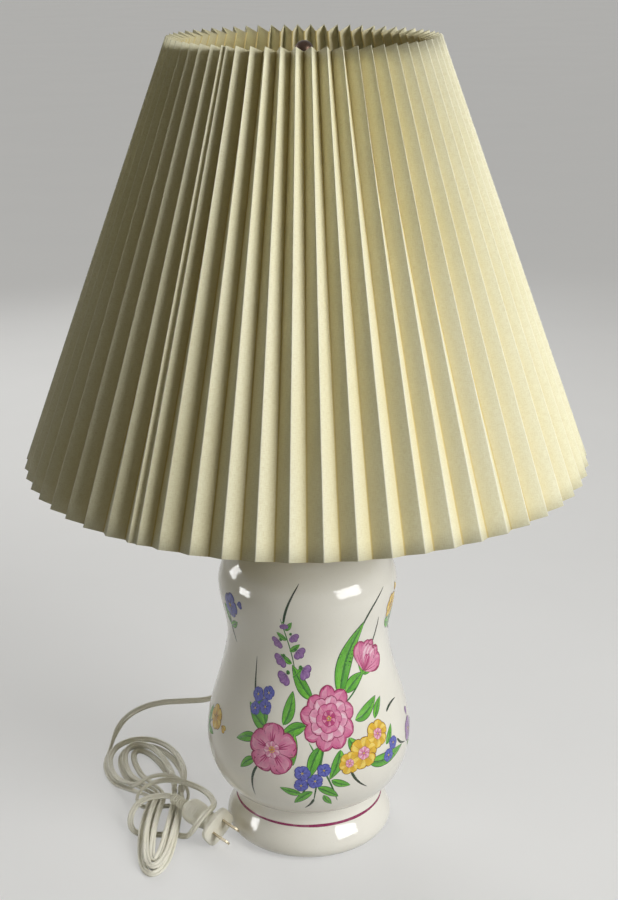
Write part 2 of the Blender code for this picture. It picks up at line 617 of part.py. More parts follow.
def harp_parts(metal, brass):
    half = harp_centreline()
    path = [(0.0, -y, z) for y, z in half] + [(0.0, y, z) for y, z in reversed(half[:-1])]
    bow = as_mesh(poly_tube("harp_bow", path, HARP_WIRE_RADIUS, metal))
    boss = cylinder_cutter("harp_boss", HARP_BOSS_RADIUS, HARP_BOSS_THICKNESS,
                           (0.0, 0.0, HARP_BOSS_TOP_Z - HARP_BOSS_THICKNESS / 2))
    combine(bow, boss, "UNION")
    middle = (0.0, 0.0, HARP_BOSS_TOP_Z - HARP_BOSS_THICKNESS / 2)
    through = HARP_BOSS_THICKNESS + 2 * CUT_OVERRUN
    bore = cylinder_cutter("harp_bore", STUD_SHANK_RADIUS + SEAT_GAP, through, middle, sides=16)
    combine(bow, bore, "DIFFERENCE")
    sleeve_bore = HARP_WIRE_RADIUS + SLEEVE_CLEARANCE
    sleeve_radius = sleeve_bore + SLEEVE_WALL
    edge = SLEEVE_WALL / 2
    sleeve = [
        (sleeve_radius - edge, SLEEVE_LENGTH), (sleeve_radius, SLEEVE_LENGTH - edge), (sleeve_radius, edge),
        (sleeve_radius - edge, 0.0), (sleeve_bore, 0.0), (sleeve_bore, SLEEVE_LENGTH),
    ]
    for side, label in ((-1.0, "front"), (1.0, "rear")):
        place = (0.0, side * HARP_LEG_HALF_SPAN, PAD_TOP_Z + SEAT_GAP)
        turned("harp_sleeve_" + label, sleeve, 20, brass, place)
    head_top = -HARP_BOSS_THICKNESS - SEAT_GAP
    flange_top = SEAT_GAP + STUD_FLANGE_THICKNESS
    stud = [
        (0.0, flange_top + STUD_POST_HEIGHT), (STUD_POST_RADIUS, flange_top + STUD_POST_HEIGHT),
        (STUD_POST_RADIUS, flange_top), (STUD_FLANGE_RADIUS, flange_top),
        (STUD_FLANGE_RADIUS, SEAT_GAP), (STUD_SHANK_RADIUS, SEAT_GAP), (STUD_SHANK_RADIUS, head_top),
        (STUD_HEAD_RADIUS, head_top), (STUD_HEAD_RADIUS, head_top - STUD_HEAD_THICKNESS),
        (0.0, head_top - STUD_HEAD_THICKNESS),
    ]
    turned("harp_stud", stud, 24, brass, (0.0, 0.0, HARP_BOSS_TOP_Z), closed=False)


def finial(metal):
    """Screw-on knob: a skirt, a neck and a ball, with a blind hole for the stud's post."""
    ball_z = FINIAL_HEIGHT - FINIAL_BALL_RADIUS
    hole = STUD_POST_RADIUS + SEAT_GAP
    depth = STUD_POST_HEIGHT - SPIDER_THICKNESS - SEAT_GAP
    turns = [pi * i / 8 for i in range(7)]
    points = [(FINIAL_BALL_RADIUS * sin(turn), ball_z + FINIAL_BALL_RADIUS * cos(turn)) for turn in turns]
    points[0] = (0.0, FINIAL_HEIGHT)
    points += [
        (FINIAL_NECK_RADIUS + SEAT_GAP, FINIAL_SKIRT_HEIGHT + SEAT_GAP),
        (FINIAL_BASE_RADIUS, FINIAL_SKIRT_HEIGHT / 2), (FINIAL_BASE_RADIUS, 0.0), (hole, 0.0),
        (hole, depth + SEAT_GAP), (0.0, depth + SEAT_GAP),
    ]
    turned("finial", points, 20, metal, (0.0, 0.0, FINIAL_Z), closed=False)


def fold_points(radius, z, panel):
    """Outer fold and inner fold of a pleat on a rim, for panels of one width."""
    half_angle = pi / PLEAT_COUNT
    half_width = radius * sin(half_angle)
    depth = sqrt(max(panel * panel - half_width * half_width, 0.0))
    valley_radius = radius * cos(half_angle) - depth * cos(SHADE_LEAN)
    valley_z = z - depth * sin(SHADE_LEAN)
    skin = PAPER_THICKNESS / sin(atan2(half_width, depth))
    return valley_radius, valley_z, skin


def panel_width():
    half_width = SHADE_BOTTOM_RADIUS * sin(pi / PLEAT_COUNT)
    return sqrt(half_width * half_width + PLEAT_DEPTH * PLEAT_DEPTH)


def inner_fold_radius(z):
    """Radius of the paper's inner face on a valley fold at a height."""
    panel = panel_width()
    low_radius, low_z, low_skin = fold_points(SHADE_BOTTOM_RADIUS, SHADE_BOTTOM_Z, panel)
    top_radius, top_z, top_skin = fold_points(SHADE_TOP_RADIUS, SHADE_TOP_Z, panel)
    share = (z - low_z) / (top_z - low_z)
    low = low_radius - low_skin / cos(SHADE_LEAN)
    top = top_radius - top_skin / cos(SHADE_LEAN)
    return low + (top - low) * share


def pleated_shade(material):
    """Loft between two zigzag rims, closed round the ring, thickened inward to paper."""
    panel = panel_width()
    rims = []
    for radius, z in ((SHADE_BOTTOM_RADIUS, SHADE_BOTTOM_Z), (SHADE_TOP_RADIUS, SHADE_TOP_Z)):
        valley_radius, valley_z, _ = fold_points(radius, z, panel)
        rim = []
        for i in range(2 * PLEAT_COUNT):
            angle = -pi / 2 + pi * i / PLEAT_COUNT
            r, h = (valley_radius, valley_z) if i % 2 == 0 else (radius, z)
            rim.append((r * cos(angle), r * sin(angle), h))
        rims.append(rim)
    count = 2 * PLEAT_COUNT
    faces = [(i, (i + 1) % count, count + (i + 1) % count, count + i) for i in range(count)]
    mesh = bpy.data.meshes.new("shade_pleats")
    mesh.from_pydata(rims[0] + rims[1], [], faces)
    item = add_object("shade_pleats", mesh, material)
    wall = item.modifiers.new("paper", "SOLIDIFY")
    wall.thickness = PAPER_THICKNESS
    wall.offset = -1.0
    wall.use_even_offset = True
    return item


def ring_radius(z):
    return inner_fold_radius(z) - (RING_WIRE_RADIUS + SEAT_GAP) / cos(SHADE_LEAN)


def shade_frame(metal):
    top_z = SPIDER_Z + SPIDER_THICKNESS / 2
    bottom_z = SHADE_BOTTOM_Z + BOTTOM_RING_RISE
    for name, z in (("top_ring", top_z), ("bottom_ring", bottom_z)):
        radius = ring_radius(z)
        wire = RING_WIRE_RADIUS
        circle = [(radius + wire * cos(-tau * i / 6), wire * sin(-tau * i / 6)) for i in range(6)]
        turned(name, circle, RING_SIDES, metal, (0.0, 0.0, z))
    top = ring_radius(top_z)
    low = ring_radius(bottom_z)
    inset = RING_WIRE_RADIUS + SEAT_GAP
    disc = [(0.0, SPIDER_THICKNESS), (SPIDER_RADIUS, SPIDER_THICKNESS), (SPIDER_RADIUS, 0.0), (0.0, 0.0)]
    hub = turned("spider", disc, 24, metal, (0.0, 0.0, SPIDER_Z), closed=False)
    hub_hole = STUD_POST_RADIUS + SPIDER_HOLE_CLEARANCE
    for k in range(SPIDER_ARMS):
        turn = radians(FIRST_ARM_DEG + 360.0 * k / SPIDER_ARMS) - pi / 2
        start = (SPIDER_RADIUS + hub_hole) / 2
        end = top - inset
        middle = (start + end) / 2
        size = (end - start, SPIDER_ARM_WIDTH, SPIDER_THICKNESS * SPIDER_ARM_SHARE)
        place = (middle * cos(turn), middle * sin(turn), SPIDER_Z + SPIDER_THICKNESS / 2)
        arm = block_mesh("spider_arm_%d" % (k + 1), size, place, turn)
        combine(hub, arm, "UNION")
        run = Vector(((low - top) * cos(turn), (low - top) * sin(turn), bottom_z - top_z))
        run.normalize()
        first = Vector((top * cos(turn), top * sin(turn), top_z)) + run * inset
        last = Vector((low * cos(turn), low * sin(turn), bottom_z)) - run * inset
        poly_tube("shade_strut_%d" % (k + 1), [first, last], STRUT_RADIUS, metal)
    bore = cylinder_cutter("spider_bore", hub_hole, SPIDER_THICKNESS + 2 * CUT_OVERRUN,
                           (0.0, 0.0, SPIDER_Z + SPIDER_THICKNESS / 2))
    combine(hub, bore, "DIFFERENCE")


def threaded_profile(crest, root, bottom, top, pitch):
    """Points of a round-thread outline, from the top down."""
    turns = max(1, int(round((top - bottom) / pitch)))
    step = (top - bottom) / turns / 2
    return [(crest if i % 2 else root, top - step * i) for i in range(2 * turns + 1)]


def socket_parts(brass, card, phenolic, aluminium, copper):
    hub, cap, wall = SOCKET_HUB_RADIUS, SOCKET_CAP_RADIUS, SOCKET_WALL
    flare = SOCKET_HUB_HEIGHT
    rise = SOCKET_CAP_HEIGHT - flare
    side_z = flare + rise * SOCKET_SIDE_SHARE
    shoulder_z = flare + rise * SOCKET_SHOULDER_SHARE
    flare_z = flare + rise * SOCKET_FLARE_SHARE
    half_way = (hub + cap) / 2
    outer = [
        (cap, SOCKET_CAP_HEIGHT), (cap, side_z), (cap - wall, shoulder_z), (half_way, flare_z),
        (hub, flare), (hub, 0.0),
    ]
    inner = [
        (cap - wall, SOCKET_CAP_HEIGHT), (cap - wall, side_z), (cap - 2 * wall, shoulder_z + wall / 2),
        (half_way - wall / 2, flare_z + wall), (hub, flare + wall),
    ]
    profile = outer + [(PIPE_HOLE_RADIUS, 0.0), (PIPE_HOLE_RADIUS, flare + wall)] + inner[::-1]
    turned("socket_cap", profile, 28, brass, (0.0, 0.0, SOCKET_Z))
    lap = SOCKET_CAP_HEIGHT - SHELL_LAP
    bead_from = SOCKET_CAP_HEIGHT + SEAT_GAP
    bead_to = bead_from + SHELL_BEAD_HEIGHT
    radius = SHELL_RADIUS
    bead = radius + SHELL_BEAD
    shell = [
        (bead - wall / 2, SHELL_TOP), (bead, SHELL_TOP - wall), (bead - wall / 2, SHELL_TOP - 2 * wall),
        (radius, SHELL_TOP - 3 * wall), (radius, bead_to), (bead, bead_to - SHELL_BEAD_HEIGHT / 4),
        (bead, bead_from + SHELL_BEAD_HEIGHT / 4), (radius, bead_from), (radius, lap),
        (radius - wall, lap), (radius - wall, SHELL_TOP),
    ]
    shell_item = turned("socket_shell", shell, 28, brass, (0.0, 0.0, SOCKET_Z))
    liner_bottom = lap + wall
    liner_height = SHELL_TOP - 2 * wall - liner_bottom
    liner_item = disc_with_hole("insulating_sleeve", LINER_RADIUS, LINER_RADIUS - LINER_WALL, liner_height,
                                32, card, SOCKET_Z + liner_bottom)
    block = [
        (0.0, SWITCH_BLOCK_TOP), (SWITCH_BLOCK_RADIUS, SWITCH_BLOCK_TOP), (SWITCH_BLOCK_RADIUS, lap),
        (SWITCH_BLOCK_NECK_RADIUS, lap - wall), (SWITCH_BLOCK_NECK_RADIUS, SWITCH_BLOCK_BOTTOM),
        (0.0, SWITCH_BLOCK_BOTTOM),
    ]
    block_item = turned("switch_block", block, 32, phenolic, (0.0, 0.0, SOCKET_Z), closed=False)
    reach = cap + KNOB_START
    hole = SWITCH_SHAFT_RADIUS + SWITCH_SHAFT_CLEARANCE
    place = ((reach + SWITCH_SHAFT_INNER) / 2 - SEAT_GAP, 0.0, SOCKET_Z + SWITCH_Z)
    along_x = (0.0, pi / 2, 0.0)
    cutter = cylinder_cutter("shaft_hole", hole, reach - SWITCH_SHAFT_INNER, place, along_x, 16)
    for item in (shell_item, liner_item, block_item):
        combine(item, cutter, "DIFFERENCE")
    disc_with_hole("screw_shell", SCREW_SHELL_BORE + SCREW_SHELL_WALL, SCREW_SHELL_BORE, SCREW_SHELL_HEIGHT,
                   28, aluminium, SCREW_SHELL_Z)
    contact = [(CONTACT_RADIUS * wide, CONTACT_HEIGHT * high) for wide, high in CONTACT_SHARES]
    turned("centre_contact", contact, 16, copper, (0.0, 0.0, CONTACT_Z), closed=False)
    head = [(TERMINAL_HEAD_RADIUS * wide, TERMINAL_HEAD_HEIGHT * high) for wide, high in TERMINAL_SHARES]
    for side, label in ((-1.0, "front"), (1.0, "rear")):
        screw = turned("terminal_screw_" + label, head, 14, brass, closed=False)
        screw.location = (0.0, side * (SWITCH_BLOCK_NECK_RADIUS + SEAT_GAP), SOCKET_Z + TERMINAL_Z)
        screw.rotation_euler = (-side * pi / 2, 0.0, 0.0)


def switch_parts(metal, plastic):
    knob_bore = SWITCH_SHAFT_RADIUS + SEAT_GAP
    reach = KNOB_START + KNOB_LENGTH * KNOB_GRIP_SHARE - SWITCH_SHAFT_INNER
    shaft = [(0.0, reach), (SWITCH_SHAFT_RADIUS, reach), (SWITCH_SHAFT_RADIUS, 0.0), (0.0, 0.0)]
    place = (SWITCH_SHAFT_INNER, 0.0, SOCKET_Z + SWITCH_Z)
    item = turned("switch_shaft", shaft, 16, metal, place, closed=False)
    item.rotation_euler = (0.0, pi / 2, 0.0)
    steps = 4 * KNOB_LOBES
    lobes = []
    for i in range(steps):
        radius = KNOB_RADIUS - KNOB_FLUTE / 2 * (1.0 - cos(tau * i * KNOB_LOBES / steps))
        lobes.append((radius * cos(tau * i / steps), radius * sin(tau * i / steps)))
    bore = [(knob_bore * cos(tau * i / 16), knob_bore * sin(tau * i / 16)) for i in range(16)]
    flat_outline("switch_knob", [lobes, bore], KNOB_LENGTH, plastic,
                 (KNOB_START + KNOB_LENGTH / 2, 0.0, SOCKET_Z + SWITCH_Z), (0.0, pi / 2, 0.0))


def bulb_parts(glass, aluminium, black_glass, solder):
    neck = BULB_NECK_RADIUS
    centre = BULB_LENGTH - BULB_RADIUS
    glass_bottom = BULB_BASE_TOP - (BULB_BASE_TOP - BULB_BASE_BOTTOM) / 3
    outer = []
    for i in range(BULB_BALL_STEPS + 1):
        angle = pi / 2 - BULB_BALL_TURN * i / BULB_BALL_STEPS
        outer.append((BULB_RADIUS * cos(angle), centre + BULB_RADIUS * sin(angle)))
    outer[0] = (0.0, BULB_LENGTH)
    last_radius, last_z = outer[-1]
    throat_z = BULB_BASE_TOP + (last_z - BULB_BASE_TOP) * BULB_THROAT_SHARE
    for i in range(1, BULB_THROAT_STEPS + 1):
        share = i / BULB_THROAT_STEPS
        radius = last_radius + (neck - last_radius) * sin(share * pi / 2)
        outer.append((radius, last_z + (throat_z - last_z) * share))
    outer.append((neck, glass_bottom))
    inner = [(max(r - BULB_WALL, 0.0), z) for r, z in outer]
    inner[0] = (0.0, BULB_LENGTH - BULB_WALL)
    within = BULB_RADIUS - BULB_WALL
    for i in range(1, BULB_BALL_STEPS + 1):
        angle = pi / 2 - BULB_BALL_TURN * i / BULB_BALL_STEPS
        inner[i] = (within * cos(angle), centre + within * sin(angle))
    turned("bulb_glass", outer + inner[::-1], 22, glass, (0.0, 0.0, BULB_Z), closed=False)
    crest, root = BULB_BASE_RADIUS, BULB_BASE_RADIUS - THREAD_DEPTH
    thread_from = BULB_BASE_BOTTOM + THREAD_PITCH / 2
    wall = BULB_BASE_WALL
    floor = BULB_BASE_BOTTOM
    cup = threaded_profile(crest, root, thread_from, BULB_BASE_TOP, THREAD_PITCH)
    cup += [
        (INSULATOR_RADIUS + wall, floor), (BULB_TIP_RADIUS + wall, floor),
        (BULB_TIP_RADIUS + wall, floor + wall),
        (INSULATOR_RADIUS, floor + wall), (root - wall, thread_from + wall), (root - wall, BULB_BASE_TOP),
    ]
    turned("bulb_base", cup, 22, aluminium, (0.0, 0.0, BULB_Z))
    insulator_top = BULB_BASE_BOTTOM - SEAT_GAP
    insulator_bottom = BULB_TIP_HEIGHT + SEAT_GAP
    insulator = [(0.0, insulator_top), (INSULATOR_RADIUS, insulator_top),
                 (BULB_TIP_RADIUS + wall, insulator_bottom), (0.0, insulator_bottom)]
    turned("bulb_insulator", insulator, 24, black_glass, (0.0, 0.0, BULB_Z), closed=False)
    tip = [(BULB_TIP_RADIUS * wide, BULB_TIP_HEIGHT * high) for wide, high in BULB_TIP_SHARES]
    turned("bulb_tip", tip, 16, solder, (0.0, 0.0, BULB_Z), closed=False)


def smooth_route(points, step):
    """Even points along a centripetal curve through a route, whose first and last runs stay straight."""
    knots = np.array(points, dtype=float)
    fine = []
    for i in range(1, len(knots) - 2):
        a, b, c, d = knots[i - 1:i + 3]
        t1 = sqrt(np.linalg.norm(b - a))
        t2 = t1 + sqrt(np.linalg.norm(c - b))
        t3 = t2 + sqrt(np.linalg.norm(d - c))
        for t in np.linspace(t1, t2, 12, endpoint=False):
            ab = a + (b - a) * t / t1
            bc = b + (c - b) * (t - t1) / (t2 - t1)
            cd = c + (d - c) * (t - t2) / (t3 - t2)
            abc = ab + (bc - ab) * t / t2
            bcd = bc + (cd - bc) * (t - t1) / (t3 - t1)
            fine.append(abc + (bcd - abc) * (t - t1) / (t2 - t1))
    fine.append(knots[-2])
    fine = np.array(fine)
    along = np.concatenate([[0.0], np.cumsum(np.linalg.norm(np.diff(fine, axis=0), axis=1))])
    marks = np.linspace(0.0, along[-1], max(2, int(round(along[-1] / step))) + 1)
    middle = np.stack([np.interp(marks, along, fine[:, k]) for k in range(3)], axis=1)
    return np.vstack([knots[0], middle, knots[-1]])


def steps_between(values):
    return np.clip(values, 0.0, 1.0) ** 2 * (3.0 - 2.0 * np.clip(values, 0.0, 1.0))


def hank_points():
    """Loops round a drawn-in waist; the spiral goes in on the lower layer and out on the upper one."""
    turns = (HANK_END_DEG - HANK_START_DEG) / 360.0
    phase = np.linspace(HANK_START_DEG, HANK_END_DEG, int(round(turns * HANK_POINTS_PER_LOOP)) + 1)
    inward = (phase - HANK_START_DEG) / 360.0
    deepest = (HANK_REVERSAL_DEG - HANK_START_DEG) / 360.0
    step = np.where(phase < HANK_REVERSAL_DEG, inward, 2.0 * deepest - inward)
    angle = np.radians(phase)
    upper = steps_between((np.cos(angle) + HANK_BLEND_SHARE) / (2.0 * HANK_BLEND_SHARE))
    upper_reach = HANK_UPPER_REACH - HANK_UPPER_STEP * step
    reach = np.where(np.cos(angle) > 0.0, upper_reach, HANK_LOWER_REACH - HANK_LOWER_STEP * step)
    along = reach * np.cos(angle)
    swell = (HANK_UPPER_SWELL - HANK_UPPER_SWELL_STEP * step) * upper
    swell += (HANK_LOWER_SWELL - HANK_LOWER_SWELL_STEP * step) * (1.0 - upper)
    opening = (np.cos(angle) ** 2 + HANK_SMOOTHING_SHARE ** 2) ** 0.25 - HANK_SMOOTHING_SHARE ** 0.5
    across = -np.sin(angle) * (HANK_WAIST_HALF - HANK_WAIST_STEP * step + swell * opening)
    blend = steps_between((along + HANK_TURN_SPAN / 2) / HANK_TURN_SPAN)
    turn = np.radians(HANK_LOWER_TURN_DEG + (HANK_UPPER_TURN_DEG - HANK_LOWER_TURN_DEG) * blend)
    layer = steps_between((phase - HANK_REVERSAL_DEG + 90.0) / 180.0)
    lift = steps_between((along - HANK_LIFT_FROM) / HANK_LIFT_RUN_IN)
    lift *= steps_between((HANK_LIFT_TO - along) / HANK_LIFT_RUN_OUT)
    x = HANK_X - along * np.sin(turn) + across * np.cos(turn)
    y = HANK_Y + along * np.cos(turn) + across * np.sin(turn)
    z = CORD_RADIUS + HANK_LAYER * layer + HANK_LIFT * lift
    points = np.stack([x, y, z], axis=1)
    first = points[0] - points[1]
    last = points[-1] - points[-2]
    head = points[0] + first / np.linalg.norm(first) * 2.0 * CORD_RADIUS
    tail = points[-1] + last / np.linalg.norm(last) * 2.0 * CORD_RADIUS
    return np.vstack([head, points, tail])


def least_gap(points, others=None):
    """Least clear distance between two tubes, or of a tube to itself past a short stretch of its length."""
    def dense(line):
        shares = np.arange(5) / 5.0
        parts = [line[i] + (line[i + 1] - line[i]) * shares[:, None] for i in range(len(line) - 1)]
        return np.vstack(parts + [line[-1:]])
    first = dense(points)
    second = first if others is None else dense(others)
    apart = np.linalg.norm(first[:, None] - second[None], axis=2)
    if others is None:
        along = np.concatenate([[0.0], np.cumsum(np.linalg.norm(np.diff(first, axis=0), axis=1))])
        near = np.abs(along[:, None] - along[None]) < GAP_STRETCH
        apart = np.where(near, np.inf, apart)
    return apart.min() - 2.0 * CORD_RADIUS


def line_length(points):
    return np.linalg.norm(np.diff(points, axis=0), axis=1).sum()


def cord_parts(vinyl, rubber):
    wall_y = body_radius_at(CORD_EXIT_Z)
    bore = CORD_RADIUS + SEAT_GAP
    sleeve_from = wall_y - BODY_WALL - BUSHING_INSIDE
    collar_from = body_radius_at(min(CORD_EXIT_Z + BUSHING_COLLAR_RADIUS, BELLY_Z)) + SEAT_GAP
    collar_to = collar_from + BUSHING_COLLAR_THICKNESS
    nose_end = collar_to + BUSHING_NOSE_LENGTH
    bushing = [
        (BUSHING_NOSE_RADIUS, nose_end), (BUSHING_SLEEVE_RADIUS, collar_to),
        (BUSHING_COLLAR_RADIUS, collar_to), (BUSHING_COLLAR_RADIUS, collar_from),
        (BUSHING_SLEEVE_RADIUS, collar_from), (BUSHING_SLEEVE_RADIUS, sleeve_from),
        (bore, sleeve_from), (bore, nose_end),
    ]
    item = turned("cord_bushing", bushing, 20, rubber, (0.0, 0.0, CORD_EXIT_Z))
    item.rotation_euler = (-pi / 2, 0.0, 0.0)

    straight = 2.0 * CORD_RADIUS
    inside_end = PIPE_TOP_Z + BUSHING_INSIDE
    inside = [(0.0, nose_end, CORD_EXIT_Z), (0.0, collar_from, CORD_EXIT_Z), (0.0, sleeve_from, CORD_EXIT_Z)]
    inside += INSIDE_ROUTE + [(0.0, 0.0, BODY_HEIGHT - BODY_WALL - PIPE_TAIL), (0.0, 0.0, inside_end)]
    poly_tube("cord_inside", smooth_route(inside, 2 * CORD_STEP), INSIDE_CORD_RADIUS, vinyl)

    hank = hank_points()
    start_run = (hank[0] - hank[1]) / np.linalg.norm(hank[0] - hank[1])
    end_run = (hank[-1] - hank[-2]) / np.linalg.norm(hank[-1] - hank[-2])
    exit_point = np.array([0.0, nose_end + SEAT_GAP, CORD_EXIT_Z])
    lead = [exit_point, exit_point + np.array([0.0, straight, 0.0])] + [np.array(p) for p in LEAD_ROUTE]
    lead += [hank[0] + start_run * (SEAT_GAP + straight), hank[0] + start_run * SEAT_GAP]
    plug_start = np.array(PLUG_START)
    plug_run = np.array(PLUG_DIRECTION) / np.linalg.norm(PLUG_DIRECTION)
    tie = [hank[-1] + end_run * SEAT_GAP, hank[-1] + end_run * (SEAT_GAP + straight)]
    tie += [np.array(p) for p in TIE_ROUTE]
    tie += [plug_start - plug_run * (SEAT_GAP + straight), plug_start - plug_run * SEAT_GAP]
    lead = smooth_route(lead, CORD_STEP)
    tie = smooth_route(tie, TIE_STEP)
    poly_tube("cord_lead", lead, CORD_RADIUS, vinyl)
    poly_tube("cord_hank", hank, CORD_RADIUS, vinyl, resolution=1)
    poly_tube("cord_tie", tie, CORD_RADIUS, vinyl)
    print("hank's least gap to itself, mm: %.2f" % (least_gap(hank) * 1000.0))
    print("tie's least gap to itself, mm: %.2f" % (least_gap(tie) * 1000.0))
    print("tie's least gap to the hank, mm: %.2f" % (least_gap(tie[3:], hank) * 1000.0))
    length = line_length(lead) + line_length(hank) + line_length(tie)
    print("cord outside the body, m: %.3f" % length)


def plug_sections():
    """Sections along the plug's axis, each a distance, a half width, a half height and a power."""
    neck, low = PLUG_NECK_RADIUS, PLUG_NECK_RADIUS - PLUG_RIB_DEPTH
    sections = [(0.0, low, low, PLUG_ROUND_POWER)]
    pitch = PLUG_NECK_LENGTH / (PLUG_NECK_RIBS + 1 / 2)
    for k in range(PLUG_NECK_RIBS):
        for share in PLUG_RIB_SHARES:
            sections.append((pitch * (k + share), neck, neck, PLUG_ROUND_POWER))
        sections.append((pitch * (k + 1), low, low, PLUG_ROUND_POWER))
    rest = PLUG_LENGTH - PLUG_FLANGE_THICKNESS - PLUG_NECK_LENGTH
    flange_w, flange_h = PLUG_FLANGE_HALF_WIDTH, PLUG_FLANGE_HALF_HEIGHT
    stretches = [
        (PLUG_GRIP_SHARES, PLUG_GRIP_HALF_WIDTH, PLUG_GRIP_HALF_HEIGHT, PLUG_GRIP_POWER),
        (PLUG_WAIST_SHARES, PLUG_WAIST_HALF_WIDTH, PLUG_WAIST_HALF_HEIGHT, PLUG_GRIP_POWER),
        (PLUG_FLARE_SHARES, flange_w, flange_h, PLUG_FLARE_POWER),
    ]
    for shares, half_w, half_h, power in stretches:
        for along, wide in shares:
            sections.append((PLUG_NECK_LENGTH + rest * along, half_w * wide, half_h * wide, power))
    sections.append((PLUG_LENGTH - PLUG_FLANGE_THICKNESS, flange_w, flange_h, PLUG_FLANGE_POWER))
    sections.append((PLUG_LENGTH, flange_w, flange_h, PLUG_FLANGE_POWER))
    return sections


def plug_parts(vinyl, metal):
    """Loft of rounded sections: ribbed neck, grip, waist, flare and flange; then the two blades."""
    sections = plug_sections()
    rings = []
    for along, half_w, half_h, power in sections:
        for i in range(PLUG_SIDES):
            angle = tau * (i + 0.5) / PLUG_SIDES
            c, s = cos(angle), sin(angle)
            across = half_w * abs(c) ** (2 / power) * (1 if c > 0 else -1)
            upright = half_h * abs(s) ** (2 / power) * (1 if s > 0 else -1)
            rings.append((across, upright, along))
    faces = []
    for k in range(len(sections) - 1):
        near, far = k * PLUG_SIDES, (k + 1) * PLUG_SIDES
        for i in range(PLUG_SIDES):
            j = (i + 1) % PLUG_SIDES
            faces.append((near + i, near + j, far + j, far + i))
    faces.append(tuple(range(PLUG_SIDES))[::-1])
    top = (len(sections) - 1) * PLUG_SIDES
    faces.append(tuple(range(top, top + PLUG_SIDES)))
    mesh = bpy.data.meshes.new("plug_body")
    mesh.from_pydata(rings, [], faces)
    direction = Vector(PLUG_DIRECTION).normalized()
    turn = direction.to_track_quat("Z", "Y").to_matrix() @ Matrix.Rotation(radians(PLUG_ROLL_DEG), 3, "Z")
    place = Matrix.Translation(PLUG_START) @ turn.to_4x4()
    body = add_object("plug_body", mesh, vinyl)
    body.matrix_world = place
    for side, label in ((-1.0, "left"), (1.0, "right")):
        half = BLADE_WIDTH / 2
        nose = BLADE_THICKNESS
        outline = [(-half, 0.0), (half, 0.0), (half, BLADE_LENGTH - nose), (half - nose, BLADE_LENGTH),
                   (nose - half, BLADE_LENGTH), (-half, BLADE_LENGTH - nose)]
        blade = flat_outline("plug_blade_" + label, [outline], BLADE_THICKNESS, metal)
        upright = Matrix.Rotation(pi / 2, 4, "Z") @ Matrix.Rotation(pi / 2, 4, "X")
        shift = Matrix.Translation((side * BLADE_HALF_SPACING, 0.0, PLUG_LENGTH + SEAT_GAP))
        blade.matrix_world = place @ shift @ upright


def build():
    clear_scene()
    glaze = make_material("ivory_glaze", (0.80, 0.77, 0.68), 0.15)
    paper = make_material("cream_paper", (0.78, 0.75, 0.58), 0.8)
    brass = make_material("brass", (0.60, 0.43, 0.18), 0.3, 1.0)
    bronze = make_material("dark_bronze", (0.10, 0.06, 0.04), 0.3, 1.0)
    steel = make_material("zinc_steel", (0.60, 0.60, 0.58), 0.4, 1.0)
    vinyl = make_material("ivory_vinyl", (0.78, 0.76, 0.66), 0.45)
    rubber = make_material("black_rubber", (0.03, 0.03, 0.03), 0.7)
    card = make_material("grey_fibre", (0.30, 0.27, 0.24), 0.8)
    phenolic = make_material("black_phenolic", (0.03, 0.02, 0.02), 0.3)
    aluminium = make_material("aluminium", (0.80, 0.80, 0.80), 0.3, 1.0)
    glass = make_material("frosted_glass", (0.92, 0.92, 0.90), 0.4, 0.0, 0.6)

    ceramic_body(glaze)
    clamp_parts(rubber, steel, steel)
    cap_and_neck(brass)
    harp_saddle(brass)
    harp_parts(brass, brass)
    finial(bronze)
    pleated_shade(paper)
    shade_frame(steel)
    socket_parts(brass, card, phenolic, aluminium, brass)
    switch_parts(brass, phenolic)
    bulb_parts(glass, aluminium, phenolic, steel)
    cord_parts(vinyl, vinyl)
    plug_parts(vinyl, brass)


build()
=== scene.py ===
"""Looks of the table lamp: a painted, glazed body, a pleated paper shade, brass fittings and a flat cord in a hank.

Metres, +Z up. The lamp's axis is at the origin and its front faces -Y. What goes through from_mm, and the painting's
tables, are in millimetres.
"""

import bpy
import bmesh
import numpy as np
from mathutils import Euler, Matrix, Vector


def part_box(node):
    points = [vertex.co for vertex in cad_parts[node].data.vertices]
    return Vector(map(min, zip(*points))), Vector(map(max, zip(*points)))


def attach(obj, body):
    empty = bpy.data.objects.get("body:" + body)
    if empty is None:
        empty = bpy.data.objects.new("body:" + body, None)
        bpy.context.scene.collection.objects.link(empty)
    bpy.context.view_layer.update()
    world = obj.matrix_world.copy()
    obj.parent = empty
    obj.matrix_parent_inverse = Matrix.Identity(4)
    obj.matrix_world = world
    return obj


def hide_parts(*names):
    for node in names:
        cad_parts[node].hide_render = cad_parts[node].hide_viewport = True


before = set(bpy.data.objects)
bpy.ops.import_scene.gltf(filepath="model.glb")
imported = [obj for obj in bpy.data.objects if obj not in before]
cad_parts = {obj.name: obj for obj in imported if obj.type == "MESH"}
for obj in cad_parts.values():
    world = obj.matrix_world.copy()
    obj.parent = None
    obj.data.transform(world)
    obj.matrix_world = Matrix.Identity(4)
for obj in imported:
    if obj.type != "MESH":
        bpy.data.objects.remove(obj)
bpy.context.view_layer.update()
bpy.context.scene.view_settings.view_transform = "Standard"

MM = 0.001
CIRCLE = 2 * np.pi

